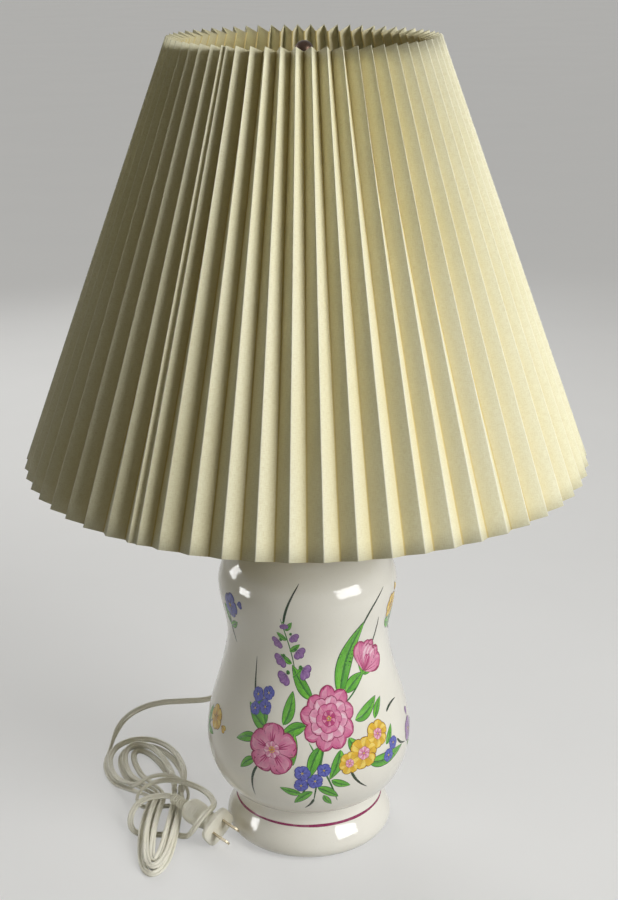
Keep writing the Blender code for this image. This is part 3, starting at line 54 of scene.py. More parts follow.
# Heights and radii repeated from the part's source
BODY_TOP = 0.268
COLLAR = 0.033
SHOULDER = (0.0712, 0.221, 0.035)
WAIST = (0.0648, 0.177)
BELLY = (0.0832, 0.088)
BELLY_TUCK, BELLY_DROP = 0.25, 0.048
FOOT_NECK = (0.0592, 0.034)
FOOT_RIM = (0.0682, 0.01)
FOOT_BASE, FOOT_LAND = 0.056, 0.008
BODY_WALL = 0.005
PIPE_HOLE = 0.0058
SHADE_BOTTOM = (0.2159, 0.3262)
SHADE_TOP = (0.0984, 0.6402)
PLEATS = 60
PLEAT_DEPTH = 0.0085
PAPER = 0.0005
CORD_EXIT_Z = 0.075
CORD_HALF = 0.0013
SEAT = 0.0003


# ---- meshes

def from_mm(rows):
    return np.array(rows, float) * MM


def unit(vectors):
    """Vectors divided by their lengths."""
    return vectors / np.linalg.norm(vectors, axis=-1, keepdims=True)


def square_to(vectors, run):
    """What is left of each vector without its share along a unit run, made one long."""
    return unit(vectors - np.einsum("ij,ij->i", vectors, run)[:, None] * run)


def smoothed(share):
    """Ease in and out: 3 s^2 - 2 s^3."""
    share = np.clip(share, 0, 1)
    return share * share * (3 - 2 * share)


def eased_run(start, end, share):
    """A run of (r, z) whose radius eases in and out while its height goes evenly."""
    (r0, z0), (r1, z1) = start, end
    return np.hstack([r0 + (r1 - r0) * smoothed(share), z0 + (z1 - z0) * share])


def averaged(line, reach):
    """Each row replaced by the mean of its neighbours within reach, weighed by a raised cosine."""
    weight = np.hanning(2 * reach + 3)[1:-1]
    weight /= weight.sum()
    padded = np.pad(line, ((reach, reach), (0, 0)), mode="edge")
    return np.stack([np.convolve(column, weight, mode="valid") for column in padded.T], axis=1)


def evened(line, step):
    """The same line with its points a step apart."""
    along = np.concatenate([[0], np.cumsum(np.linalg.norm(np.diff(line, axis=0), axis=1))])
    marks = np.linspace(0, along[-1], max(2, int(round(along[-1] / step))) + 1)
    return np.stack([np.interp(marks, along, line[:, k]) for k in range(3)], axis=1)


def rounded(before, corner, after, reach, limit, steps):
    """Corners made into curves: at share t, (1-t)^2 of the cut before the corner, 2t(1-t) of the corner, t^2 of the cut
    after. A cut is a reach along its side, or the limit's share of it if that is less."""
    cuts = []
    for side in (before - corner, after - corner):
        length = np.maximum(np.linalg.norm(side, axis=-1, keepdims=True), 1e-9)
        cuts.append((corner + side * np.minimum(reach / length, limit))[..., None, :])
    t = np.linspace(0, 1, steps + 1)[:, None]
    return (1 - t) ** 2 * cuts[0] + 2 * t * (1 - t) * corner[..., None, :] + t ** 2 * cuts[1]


def softened(corners, reach, steps=3, closed=True):
    """An outline with each corner made into a curve."""
    corners = np.asarray(corners, float)
    curve = rounded(np.roll(corners, 1, axis=0), corners, np.roll(corners, -1, axis=0), reach, 0.45, steps)
    if closed:
        return curve.reshape(-1, 2)
    return np.vstack([corners[:1], curve[1:-1].reshape(-1, 2), corners[-1:]])


def cells(rows, columns, wrap_rows=False, wrap_columns=False):
    """The four corners of each cell of a grid whose points are numbered row by row. A wrapped side joins its last line
    to its first."""
    i, j = np.meshgrid(np.arange(rows - (not wrap_rows)), np.arange(columns - (not wrap_columns)), indexing="ij")
    k, m = (i + 1) % rows, (j + 1) % columns
    return np.stack([i * columns + j, i * columns + m, k * columns + m, k * columns + j], axis=-1).reshape(-1, 4)


def at_corners(grid):
    """A grid's values at the corners of its cells, in the order of cells."""
    return np.stack([grid[:-1, :-1], grid[:-1, 1:], grid[1:, 1:], grid[1:, :-1]], axis=-1).reshape(-1, 4)


def volume(points, faces):
    """Signed volume: a sixth of the sum, over each face's two triangles, of one corner dotted with the cross product of
    the others."""
    a, b, c, d = (points[faces[:, n]] for n in range(4))
    return np.einsum("ij,ij->", a, np.cross(b, c) + np.cross(c, d)) / 6


def outward(points, faces):
    """The faces, turned over if they face inwards."""
    return faces[:, ::-1] if volume(points, faces) < 0 else faces


def make_piece(name, points, faces, slot, body, stands_for=(), sharp=None, weld=False, closed=True):
    """A mesh piece from arrays in its slot's finish, with its faces turned outwards, riding on a body."""
    points = np.asarray(points, float).reshape(-1, 3)
    if closed:
        faces = outward(points, faces)
    mesh = bpy.data.meshes.new(name)
    mesh.from_pydata(points.tolist(), [], faces.tolist())
    if weld:
        work = bmesh.new()
        work.from_mesh(mesh)
        bmesh.ops.remove_doubles(work, verts=work.verts, dist=1e-6)
        bmesh.ops.recalc_face_normals(work, faces=work.faces)
        work.to_mesh(mesh)
        work.free()
    mesh.shade_smooth()
    if sharp:
        mesh.set_sharp_from_angle(angle=np.radians(sharp))
    mesh.materials.append(FINISHES[slot])
    piece = bpy.data.objects.new(name, mesh)
    bpy.context.scene.collection.objects.link(piece)
    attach(piece, body)
    if stands_for:
        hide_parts(*stands_for)
    return piece


def spun(profile, sides):
    """A grid of a profile's (r, h) turned round +Z: x = r cos a, y = r sin a, z = h."""
    profile = np.asarray(profile, float)
    angle = np.linspace(0, CIRCLE, sides, endpoint=False)
    radius, height = profile[:, :1], profile[:, 1:]
    return np.stack([radius * np.cos(angle), radius * np.sin(angle), np.repeat(height, sides, axis=1)], axis=-1)


def turned(name, profile, sides, slot, body, stands_for, place=None, closed=True, sharp=40):
    """A piece of revolution, moved from +Z to its place. An open profile starts and ends on the axis."""
    points = spun(profile, sides).reshape(-1, 3)
    if place is not None:
        points = points @ np.array(place.to_3x3()).T + np.array(place.translation)
    faces = cells(len(profile), sides, closed, True)
    return make_piece(name, points, faces, slot, body, stands_for, sharp, not closed)


def tube_mesh(path, across, section):
    """The points and faces of a section carried along a path, with its ends drawn in to a point: each point is the
    path's own plus a times the across direction plus b times the third one."""
    run = unit(np.gradient(path, axis=0))
    across = square_to(across, run)
    third = np.cross(run, across)
    grid = path[:, None] + section[None, :, :1] * across[:, None] + section[None, :, 1:] * third[:, None]
    ends = [np.broadcast_to(grid[n].mean(axis=0), (1, *grid[n].shape)) for n in (0, -1)]
    grid = np.concatenate([ends[0], grid, ends[1]])
    return grid.reshape(-1, 3), cells(len(grid), len(section), False, True)


def tube(name, path, across, section, slot, body, stands_for):
    return make_piece(name, *tube_mesh(path, across, section), slot, body, stands_for, 50, True)


def ring_section(radius, sides=12):
    return spun([(radius, 0)], sides)[0, :, :2]


def point_values(piece, name, values):
    """A number, or a colour, kept on each point of a piece for its material."""
    kind, field = ("FLOAT", "value") if values.ndim == 1 else ("FLOAT_COLOR", "color")
    kept = piece.data.attributes.new(name, kind, "POINT")
    kept.data.foreach_set(field, np.ascontiguousarray(values, dtype=np.float32).ravel())


def corner_map(piece, name, u, v):
    """A UV map from the corners' own numbers."""
    layer = piece.data.uv_layers.new(name=name)
    layer.data.foreach_set("uv", np.stack([u, v], axis=-1).astype(np.float32).ravel())


# ---- finishes

def start_finish(name, colour, roughness, metallic=0, **more):
    made = bpy.data.materials.new(name)
    made.use_nodes = True
    shader = made.node_tree.nodes["Principled BSDF"]
    shader.inputs["Base Color"].default_value = (*colour, 1)
    shader.inputs["Roughness"].default_value = roughness
    shader.inputs["Metallic"].default_value = metallic
    for socket, value in more.items():
        shader.inputs[socket.replace("_", " ")].default_value = value
    return made, made.node_tree, shader


def add(tree, kind, inputs=None, **settings):
    """A node of a kind, with its settings, and each input either linked or set."""
    node = tree.nodes.new("ShaderNode" + kind)
    for name, value in settings.items():
        setattr(node, name, value)
    for name, value in (inputs or {}).items():
        if isinstance(value, bpy.types.NodeSocket):
            tree.links.new(value, node.inputs[name])
        else:
            node.inputs[name].default_value = value
    return node


def place_on(tree, scale=(1, 1, 1), uv=None):
    """Object coordinates, or a UV map's, stretched by a scale."""
    source = add(tree, "UVMap", uv_map=uv).outputs["UV"] if uv else add(tree, "TexCoord").outputs["Object"]
    return add(tree, "Mapping", {"Vector": source, "Scale": scale}).outputs["Vector"]


def grain(tree, place, scale, detail=3, roughness=0.55):
    inputs = {"Vector": place, "Scale": scale, "Detail": detail, "Roughness": roughness}
    return add(tree, "TexNoise", inputs).outputs["Fac"]


def between(tree, factor, low=0, high=1, from_min=0.3, from_max=0.7):
    """A number that goes from low to high as the factor goes over a range."""
    inputs = {"Value": factor, "From Min": from_min, "From Max": from_max, "To Min": low, "To Max": high}
    return add(tree, "MapRange", inputs).outputs["Result"]


def mixed(tree, factor, first, second, blend="MIX"):
    """Two colours mixed by a factor."""
    inputs = {0: factor, 6: first, 7: second}
    inputs = {socket: (*value, 1) if isinstance(value, tuple) else value for socket, value in inputs.items()}
    return add(tree, "Mix", inputs, data_type="RGBA", blend_type=blend).outputs[2]


def washed(tree, factor, first, second, *span):
    """Two colours mixed by where a factor lies in its range."""
    return mixed(tree, between(tree, factor, *span), first, second)


def math(tree, operation, first, second):
    return add(tree, "Math", {0: first, 1: second}, operation=operation).outputs[0]


def attribute(tree, name, output="Fac"):
    return add(tree, "Attribute", attribute_name=name).outputs[output]


def join(tree, shader, **sources):
    for socket, source in sources.items():
        tree.links.new(source, shader.inputs[socket.replace("_", " ")])


def bumps(tree, shader, height, distance, strength):
    inputs = {"Height": height, "Distance": distance, "Strength": strength}
    join(tree, shader, Normal=add(tree, "Bump", inputs).outputs["Normal"])


def glaze_finish(name):
    """Ivory tin glaze: slow changes of tone, faint ripples, and bare fired clay on the foot's land and inside."""
    made, tree, shader = start_finish(name, (0.8, 0.77, 0.68), 0.1, Coat_Weight=0.35, Coat_Roughness=0.04)
    place = place_on(tree)
    tone = washed(tree, grain(tree, place, 14, 4), (0.845, 0.82, 0.735), (0.89, 0.872, 0.8))
    tone = washed(tree, grain(tree, place, 900, 2), tone, (0.6, 0.53, 0.42), 0, 0.5, 0.68, 0.78)
    clay = washed(tree, grain(tree, place, 320, 5), (0.62, 0.47, 0.33), (0.74, 0.61, 0.47))
    bare = attribute(tree, "bare")
    gloss = between(tree, grain(tree, place, 60, 4), 0.06, 0.13)
    join(tree, shader, Base_Color=mixed(tree, bare, tone, clay),
         Roughness=math(tree, "MAXIMUM", gloss, math(tree, "MULTIPLY", bare, 0.85)))
    fine = math(tree, "MULTIPLY", grain(tree, place, 600, 2), 0.08)
    bumps(tree, shader, math(tree, "ADD", grain(tree, place, 75, 2), fine), 0.0009, 0.35)
    return made


def enamel_finish(name):
    """Painted enamel: each stroke's colour, streaked along the brush and thin where the brush lifted."""
    made, tree, shader = start_finish(name, (0.5, 0.2, 0.3), 0.16, Coat_Weight=0.3, Coat_Roughness=0.06)
    streak = grain(tree, place_on(tree, (120, 2600, 1), "brush"), 1)
    pool = grain(tree, place_on(tree), 420)
    tone = washed(tree, streak, attribute(tree, "pigment", "Color"), (0.86, 0.78, 0.74), 0, 0.2, 0.5, 0.8)
    deep = mixed(tree, 1, tone, (0.72, 0.7, 0.72), "MULTIPLY")
    join(tree, shader, Base_Color=washed(tree, pool, tone, deep, 0, 0.55, 0.45, 0.7),
         Roughness=between(tree, pool, 0.1, 0.22))
    bumps(tree, shader, streak, 0.0002, 0.4)
    return made


def paper_finish(name):
    """Cream laminated paper: crossed linen threads and slow yellowing, with painted shade that darkens the inner folds
    and a painted highlight that pales the outer ones."""
    made, tree, shader = start_finish(name, (0.78, 0.74, 0.55), 0.7, Specular_IOR_Level=0.3)
    scales = ((260, 2400, 1), (2400, 260, 1))
    linen = math(tree, "ADD", *(grain(tree, place_on(tree, scale, "paper"), 1, 2) for scale in scales))
    # The fold mark carries the painted shade of the inner folds and the painted highlight of the outer ones.
    fold = attribute(tree, "fold")
    tone = washed(tree, grain(tree, place_on(tree), 9), (0.835, 0.805, 0.565), (0.865, 0.845, 0.65))
    tone = washed(tree, linen, tone, (0.62, 0.54, 0.31), 0, 0.34, 0.92, 1.16)
    # Painted shade: the inner folds are tinted a darker yellow.
    tone = washed(tree, fold, tone, (0.58, 0.45, 0.15), 0.9, 0, -1, 0.2)
    # Painted highlight: the outer folds are tinted paler.
    tone = washed(tree, fold, tone, (0.9, 0.88, 0.78), 0, 0.6, 0.3, 1)
    join(tree, shader, Base_Color=tone, Roughness=between(tree, linen, 0.6, 0.82, 0.8, 1.2))
    bumps(tree, shader, linen, 0.00012, 0.6)
    return made


def vinyl_finish(name):
    """Ivory cord vinyl: satin, yellowed in patches, with handling grime and a fine drawn grain."""
    made, tree, shader = start_finish(name, (0.78, 0.75, 0.62), 0.4, Specular_IOR_Level=0.45)
    place = place_on(tree)
    grime = grain(tree, place, 240, 6, 0.7)
    tone = washed(tree, grain(tree, place, 45, 4), (0.85, 0.825, 0.7), (0.89, 0.875, 0.78))
    join(tree, shader, Base_Color=washed(tree, grime, tone, (0.56, 0.5, 0.38), 0, 0.35, 0.58, 0.78),
         Roughness=between(tree, grime, 0.32, 0.52))
    bumps(tree, shader, grain(tree, place, 1500, 2), 0.00005, 0.6)
    return made


def frosted_finish(name):
    """Bulb glass frosted inside with a soft white coat, greyer towards the neck."""
    made, tree, shader = start_finish(name, (0.88, 0.88, 0.86), 0.16, Coat_Weight=0.6, Coat_Roughness=0.03)
    place = place_on(tree)
    powder = grain(tree, place, 700)
    height = add(tree, "SeparateXYZ", {"Vector": place}).outputs["Z"]
    tone = washed(tree, height, (0.7, 0.7, 0.68), (0.9, 0.9, 0.88), 0, 1, 0.372, 0.405)
    join(tree, shader, Base_Color=washed(tree, powder, tone, (0.76, 0.76, 0.74), 0, 0.15),
         Roughness=between(tree, powder, 0.12, 0.22))
    return made


def metal_finish(name, pale, dark, roughness, wear):
    """Worked metal: fine turning lines, and clouds of tarnish that are darker and duller."""
    made, tree, shader = start_finish(name, pale, roughness, 1)
    lines = grain(tree, place_on(tree, (1, 1, 14)), 260)
    tarnish = between(tree, grain(tree, place_on(tree), 110, 5), 0, wear, 0.42, 0.72)
    gloss = between(tree, lines, roughness * 0.8, roughness * 1.2)
    join(tree, shader, Base_Color=washed(tree, lines, mixed(tree, tarnish, pale, dark), dark, 0, 0.25),
         Roughness=math(tree, "ADD", gloss, math(tree, "MULTIPLY", tarnish, 0.22)))
    bumps(tree, shader, lines, 0.00006, 0.5)
    return made


def moulded_finish(name, colour, pale, roughness, scale):
    """Moulded or pressed stuff: its colour, a paler bloom, and a fine grain in its gloss and height."""
    made, tree, shader = start_finish(name, colour, roughness)
    place = place_on(tree)
    fine = grain(tree, place, scale, 5, 0.65)
    join(tree, shader, Base_Color=washed(tree, grain(tree, place, scale * 0.15), colour, pale),
         Roughness=between(tree, fine, roughness * 0.8, min(roughness * 1.25, 1)))
    bumps(tree, shader, fine, 0.00008, 0.5)
    return made


PAINT = "painted_enamel"
FINISHES = {}
for maker, name, *values in (
        (glaze_finish, "ivory_glaze"), (enamel_finish, PAINT), (paper_finish, "cream_paper"),
        (vinyl_finish, "ivory_vinyl"), (frosted_finish, "frosted_glass"),
        (metal_finish, "brass", (0.74, 0.55, 0.27), (0.42, 0.27, 0.11), 0.24, 0.5),
        (metal_finish, "blade_brass", (0.68, 0.6, 0.44), (0.4, 0.32, 0.2), 0.3, 0.7),
        (metal_finish, "dark_bronze", (0.085, 0.055, 0.04), (0.03, 0.02, 0.015), 0.32, 0.8),
        (metal_finish, "zinc_steel", (0.62, 0.62, 0.6), (0.36, 0.35, 0.34), 0.36, 0.5),
        (metal_finish, "aluminium", (0.8, 0.8, 0.8), (0.52, 0.52, 0.51), 0.26, 0.5),
        (moulded_finish, "black_rubber", (0.022, 0.022, 0.022), (0.05, 0.05, 0.048), 0.68, 900),
        (moulded_finish, "grey_fibre", (0.24, 0.21, 0.18), (0.36, 0.32, 0.28), 0.85, 500),
        (moulded_finish, "black_phenolic", (0.022, 0.018, 0.016), (0.045, 0.038, 0.034), 0.28, 1200)):
    FINISHES[name] = maker(name, *values)


# ---- camera, light and floor

def camera():
    """The photograph's viewpoint, from a fit to the shade's rims and the foot."""
    down, roll = 0.3385, -0.0061
    made = bpy.data.objects.new("camera", bpy.data.cameras.new("camera"))
    made.data.lens = 62.42
    made.data.sensor_width = 36
    made.data.clip_start = 0.05
    made.data.clip_end = 60
    tilt = Euler((np.pi / 2 - down, 0, 0)).to_matrix() @ Matrix.Rotation(roll, 3, "Z")
    made.rotation_euler = tilt.to_euler()
    made.location = (0.00179, -1.14125, 0.7295)
    bpy.context.scene.collection.objects.link(made)
    bpy.context.scene.camera = made


def lamp(name, place, aim, size, energy, wash=True, shine=True, spread=180):
    light = bpy.data.lights.new(name, "AREA")
    light.shape = "RECTANGLE"
    light.size, light.size_y = size
    light.energy = energy
    light.spread = np.radians(spread)
    made = bpy.data.objects.new(name, light)
    made.location = place
    made.rotation_euler = (Vector(aim) - Vector(place)).to_track_quat("-Z", "Y").to_euler()
    made.visible_diffuse = wash
    made.visible_glossy = shine
    bpy.context.scene.collection.objects.link(made)


def pale_rays(tree):
    """One for the rays that show the floor or the world itself: seen directly, mirrored or through glass."""
    path = add(tree, "LightPath").outputs
    shown = math(tree, "MAXIMUM", path["Is Camera Ray"], path["Is Glossy Ray"])
    return math(tree, "MAXIMUM", shown, path["Is Transmission Ray"])


def studio():
    """A soft key on the right, a dim wash behind, a low lamp and two highlights on the left, even light and a floor."""
    lamp("key", (1.29, -0.94, 0.95), (0, 0, 0.34), (1, 1.1), 12.3, spread=120)
    lamp("low", (-0.75, -0.5, 0.12), (-0.06, -0.02, 0.05), (0.3, 0.14), 0.055, shine=False, spread=42)
    lamp("wash", (-0.6, 1.8, 1.1), (0, 0, 0.34), (1.5, 1.3), 9, shine=False, spread=120)
    lamp("rim", (-1.3, 0.62, 0.8), (0, 0, 0.3), (0.4, 0.9), 7, wash=False)
    lamp("glint", (-0.92, -0.12, 0.22), (-0.05, -0.03, 0.03), (0.26, 0.2), 1.6, wash=False)
    world = bpy.data.worlds.new("room")
    bpy.context.scene.world = world
    world.use_nodes = True
    tree = world.node_tree
    shader = tree.nodes["Background"]
    height = add(tree, "SeparateXYZ", {"Vector": add(tree, "TexCoord").outputs["Generated"]}).outputs["Z"]
    tone = washed(tree, height, (0.111, 0.099, 0.063), (0.108, 0.099, 0.07), 0, 1, -0.1, 0.9)
    join(tree, shader, Color=mixed(tree, pale_rays(tree), tone, (0.66, 0.66, 0.66)))
    shader.inputs["Strength"].default_value = 1

    made, tree, shader = start_finish("pale_floor", (0.46, 0.46, 0.45), 0.9, Specular_IOR_Level=0.1)
    cloud = grain(tree, place_on(tree), 3)
    join(tree, shader, Base_Color=washed(tree, cloud, (0.45, 0.45, 0.445), (0.48, 0.48, 0.475)),
         Emission_Color=mixed(tree, pale_rays(tree), (0, 0, 0), (0.36, 0.36, 0.36)))
    shader.inputs["Emission Strength"].default_value = 1
    mesh = bpy.data.meshes.new("floor")
    reach = 30
    mesh.from_pydata([(-reach, -reach, 0), (reach, -reach, 0), (reach, reach, 0), (-reach, reach, 0)],
                     [], [(0, 1, 2, 3)])
    mesh.materials.append(made)
    floor = bpy.data.objects.new("floor", mesh)
    bpy.context.scene.collection.objects.link(floor)


# ---- cord

LEAD_ROUTE = from_mm([
    (-6, 124, 71), (-24, 131, 65.5), (-48, 130, 59), (-72, 122, 53), (-92, 114, 49.5), (-112, 111, 49.5),
    (-133, 111, 48), (-150, 113, 42), (-163, 115, 33), (-171.5, 116, 23), (-177, 114, 12.5), (-180, 107.5, 5),
])
TIE_ROUTE = from_mm([
    (-146.9, 26.6, 15.6), (-140.5, 29.8, 18.6), (-132, 32.8, 20), (-122, 33.2, 20.2), (-112.8, 30.8, 18.8),
    (-106.5, 26.5, 14.8), (-103.2, 21.5, 9.4), (-103.8, 17.6, 4.6), (-108.4, 15.2, 2.1), (-116, 14, 2.1),
    (-126, 12.5, 2.1), (-138, 11, 2.2), (-144.6, 11, 4.6), (-147, 13, 9.6), (-144.2, 16.5, 14.6),
    (-137, 21, 18.2), (-128, 24.8, 19.6), (-118.5, 25.6, 20.2), (-108.8, 23, 20.3), (-99.5, 18, 19.6),
    (-91.3, 11.5, 19.6), (-84.8, 2, 20.6), (-80.5, -10, 22.6), (-78.6, -21, 25.1), (-80.2, -30, 26.6),
    (-85.5, -37.5, 26.2), (-90.8, -41.5, 20.5), (-95.8, -42, 12.5), (-100, -39.2, 6.4), (-104.8, -34, 3.3),
    (-110, -30.6, 2.1), (-117, -29.8, 2.1), (-125, -30, 2.1), (-135, -29.6, 2.1), (-143, -27.5, 2.4),
    (-147.6, -22.5, 3.8), (-149.2, -15.8, 7), (-147.8, -8.6, 11.2), (-143, -3, 15.6), (-135.5, 0, 18.4),
    (-127, 1.2, 19.6), (-120.5, 0.8, 19.9),
])
INSIDE_ROUTE = from_mm([(0, 66, 74.5), (0, 50, 78), (0, 34, 98), (0, 20, 135), (0, 8, 185), (0, 0, 225),
                        (0, 0, 257), (0, 0, 316.3)])
PLUG_START = np.array([-0.1135, -0.0025, 0.0195])
PLUG_RUN = unit(np.array([0.716, -0.695, -0.067]))
HANK_WAIST = np.array([-0.125, 0.002, 0.0108])
CORD_RADIUS = 0.0019
CORD_PITCH = 0.0025


def even_route(points, step):
    """Even points along a curve through a route: between two knots the curve blends the four nearest, each weighed by
    the root of its distance."""
    knots = np.asarray(points, float)
    root = np.sqrt(np.linalg.norm(np.diff(knots, axis=0), axis=1))[:, None, None]
    t1 = root[:-2]
    t2 = t1 + root[1:-1]
    t3 = t2 + root[2:]
    t = t1 + (t2 - t1) * np.linspace(0, 1, 12, endpoint=False)[:, None]

    def blend(first, second, start, end):
        return first + (second - first) * (t - start) / (end - start)

    a, b, c, d = knots[:-3, None], knots[1:-2, None], knots[2:-1, None], knots[3:, None]
    ab, bc, cd = blend(a, b, 0, t1), blend(b, c, t1, t2), blend(c, d, t2, t3)
    curve = blend(blend(ab, bc, 0, t2), blend(bc, cd, t1, t3), t1, t2).reshape(-1, 3)
    return evened(np.vstack([knots[:1], curve, knots[-2:]]), step)


def hank_line():
    """The hank's loops, as the part's source winds them.

    At phase p the cord is reach times cos p along the hank and -sin p times its half width across. Each turn is a step
    nearer the middle on the way in, and the same steps further out on the way back, one layer up.
    """
    start, back, end = 36, 810, 1516
    phase = np.linspace(start, end, int(round((end - start) / 360 * 72)) + 1)
    inward = (phase - start) / 360
    step = np.where(phase < back, inward, 2 * (back - start) / 360 - inward)
    angle = np.radians(phase)
    run = np.cos(angle)
    upper = smoothed((run + 0.25) / 0.5)
    along = np.where(run > 0, 0.108 - 0.0085 * step, 0.109 - 0.0088 * step) * run
    swell = (0.0513 - 0.0188 * step) * upper + (0.0105 - 0.0035 * step) * (1 - upper)
    opening = (run ** 2 + 0.03 ** 2) ** 0.25 - 0.03 ** 0.5
    across = -np.sin(angle) * (0.0137 - 0.00495 * step + swell * opening)
    turn = np.radians(-2 + 24 * smoothed((along + 0.03) / 0.06))
    layer = smoothed((phase - back + 90) / 180)
    lift = smoothed((along + 0.088) / 0.035) * smoothed((0.052 - along) / 0.03)
    x = -0.121 - along * np.sin(turn) + across * np.cos(turn)
    y = 0.02 + along * np.cos(turn) + across * np.sin(turn)
    return np.stack([x, y, CORD_RADIUS + 0.0048 * layer + 0.0049 * lift], axis=1)


def flat_twin():
    """Two round wires side by side with a groove between: (+-h + h cos p, h sin p), where p keeps clear of the join."""
    turn = np.radians(np.linspace(-148, 148, 11))
    right = CORD_HALF * np.stack([1 + np.cos(turn), np.sin(turn)], axis=1)
    return np.vstack([right, -right])


def across_at(line, lead, hank):
    """The flat cord's wide direction at each point, where the lead and the hank end at these points. On the lead it
    stands, in the hank it leans, and round the tie it lies against the bundle."""
    run = unit(np.gradient(line, axis=0))
    lean = np.zeros_like(line)
    lean[:lead] = (0.25, 0.1, 0.95)
    coil = line[lead:hank] - HANK_WAIST
    face = smoothed((np.hypot(coil[:, 0], coil[:, 1]) - 0.025) / 0.04)[:, None]
    normal = np.array([0.8, -0.2, 0.56]) * (1 - face) + np.array([0.1, -0.6, 0.8]) * face
    lean[lead:hank] = np.cross(run[lead:hank], normal)
    out = unit((line[hank:] - HANK_WAIST) * (1, 0, 1))
    share = smoothed((np.arange(len(out)) * CORD_PITCH - 0.135) / 0.02)[:, None]
    lean[hank:] = np.cross(run[hank:], out * (1 - share) + np.array([0, -0.45, 0.89]) * share)
    lean = square_to(lean, run)
    facing = np.sign(np.einsum("ij,ij->i", lean[1:], lean[:-1]))
    lean[1:] *= np.cumprod(np.where(facing == 0, 1, facing))[:, None]
    return square_to(averaged(lean, 5), run)


def cord():
    """One flat twin cord from the bushing through lead, hank and tie to the plug."""
    nose_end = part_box("cord_bushing")[1].y
    exit_point = np.array([0, nose_end + SEAT, CORD_EXIT_Z])
    straight, floor_gap = 2 * CORD_RADIUS, 0.00015
    hank = hank_line()
    first, last = hank[0] - hank[3], hank[-1] - hank[-4]
    head, tail = hank[0] + unit(first) * straight, hank[-1] + unit(last) * straight
    lead = even_route(np.vstack([exit_point, exit_point + (0, straight, 0), LEAD_ROUTE,
                                 head, head - first * 0.3]), CORD_PITCH)
    tie = even_route(np.vstack([tail - last * 0.3, tail, TIE_ROUTE,
                                PLUG_START - PLUG_RUN * straight, PLUG_START + PLUG_RUN * 0.0005]), CORD_PITCH)
    tie[3:-4] = averaged(tie, 2)[3:-4]
    hank = evened(hank, CORD_PITCH)
    line = np.vstack([lead[:-2], hank, tie[2:]])
    lean = across_at(line, len(lead) - 2, len(lead) - 2 + len(hank))
    line[:, 2] = np.maximum(line[:, 2], CORD_HALF * (1 + np.abs(lean[:, 2])) + floor_gap)
    line[0] = exit_point
    piece = tube("supply_cord", line, lean, flat_twin(), "ivory_vinyl", "base", ("cord_lead", "cord_hank", "cord_tie"))
    length = float(np.linalg.norm(np.diff(line, axis=0), axis=1).sum())
    return piece, line, exit_point, length


def cord_inside():
    """The same cord, pressed thinner, from the bushing up through the body to the socket."""
    step, thinner = 0.004, 0.72
    low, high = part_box("cord_bushing")
    through = [(0, y, CORD_EXIT_Z) for y in (high.y, high.y - 0.0225, low.y)]
    line = even_route(np.vstack([through, INSIDE_ROUTE]), step)
    lean = np.broadcast_to(np.array([1, 0, 0]), line.shape)
    tube("inside_cord", line, lean, flat_twin() * thinner, "ivory_vinyl", "base", ("cord_inside",))


def bushing():
    """Moulded strain relief: a collar against the wall and a nose that tapers, cut by ring grooves along it."""
    low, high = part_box("cord_bushing")
    wall = high.y - 0.024
    share = np.linspace(0, 1, 46)
    groove = np.clip(np.cos(CIRCLE * 6 * share), -1, 0.3)
    nose = 0.0043 - 0.0011 * share - 0.00028 * (0.3 - groove) * (share > 0.04) * (share < 0.94)
    start, end = wall + 0.0024, high.y - 0.0004
    collar = [(0.0043, low.y), (0.0043, wall), (0.0066, wall), (0.0066, wall + 0.002), (0.0048, wall + 0.0021)]
    profile = np.vstack([softened(collar, 0.0006, closed=False),
                         np.stack([nose, start + share * (end - start)], axis=1),
                         [(0.0029, high.y), (0.0022, high.y), (0.0022, low.y)]])
    place = Matrix.Translation((0, 0, CORD_EXIT_Z)) @ Matrix.Rotation(-np.pi / 2, 4, "X")
    turned("strain_relief", profile, 40, "ivory_vinyl", "base", ("cord_bushing",), place)


# ---- plug

def smooth_through(marks, values, at):
    """Values between marks, eased so that the line has no corners."""
    return averaged(np.interp(at, marks, values)[:, None], 3)[:, 0]


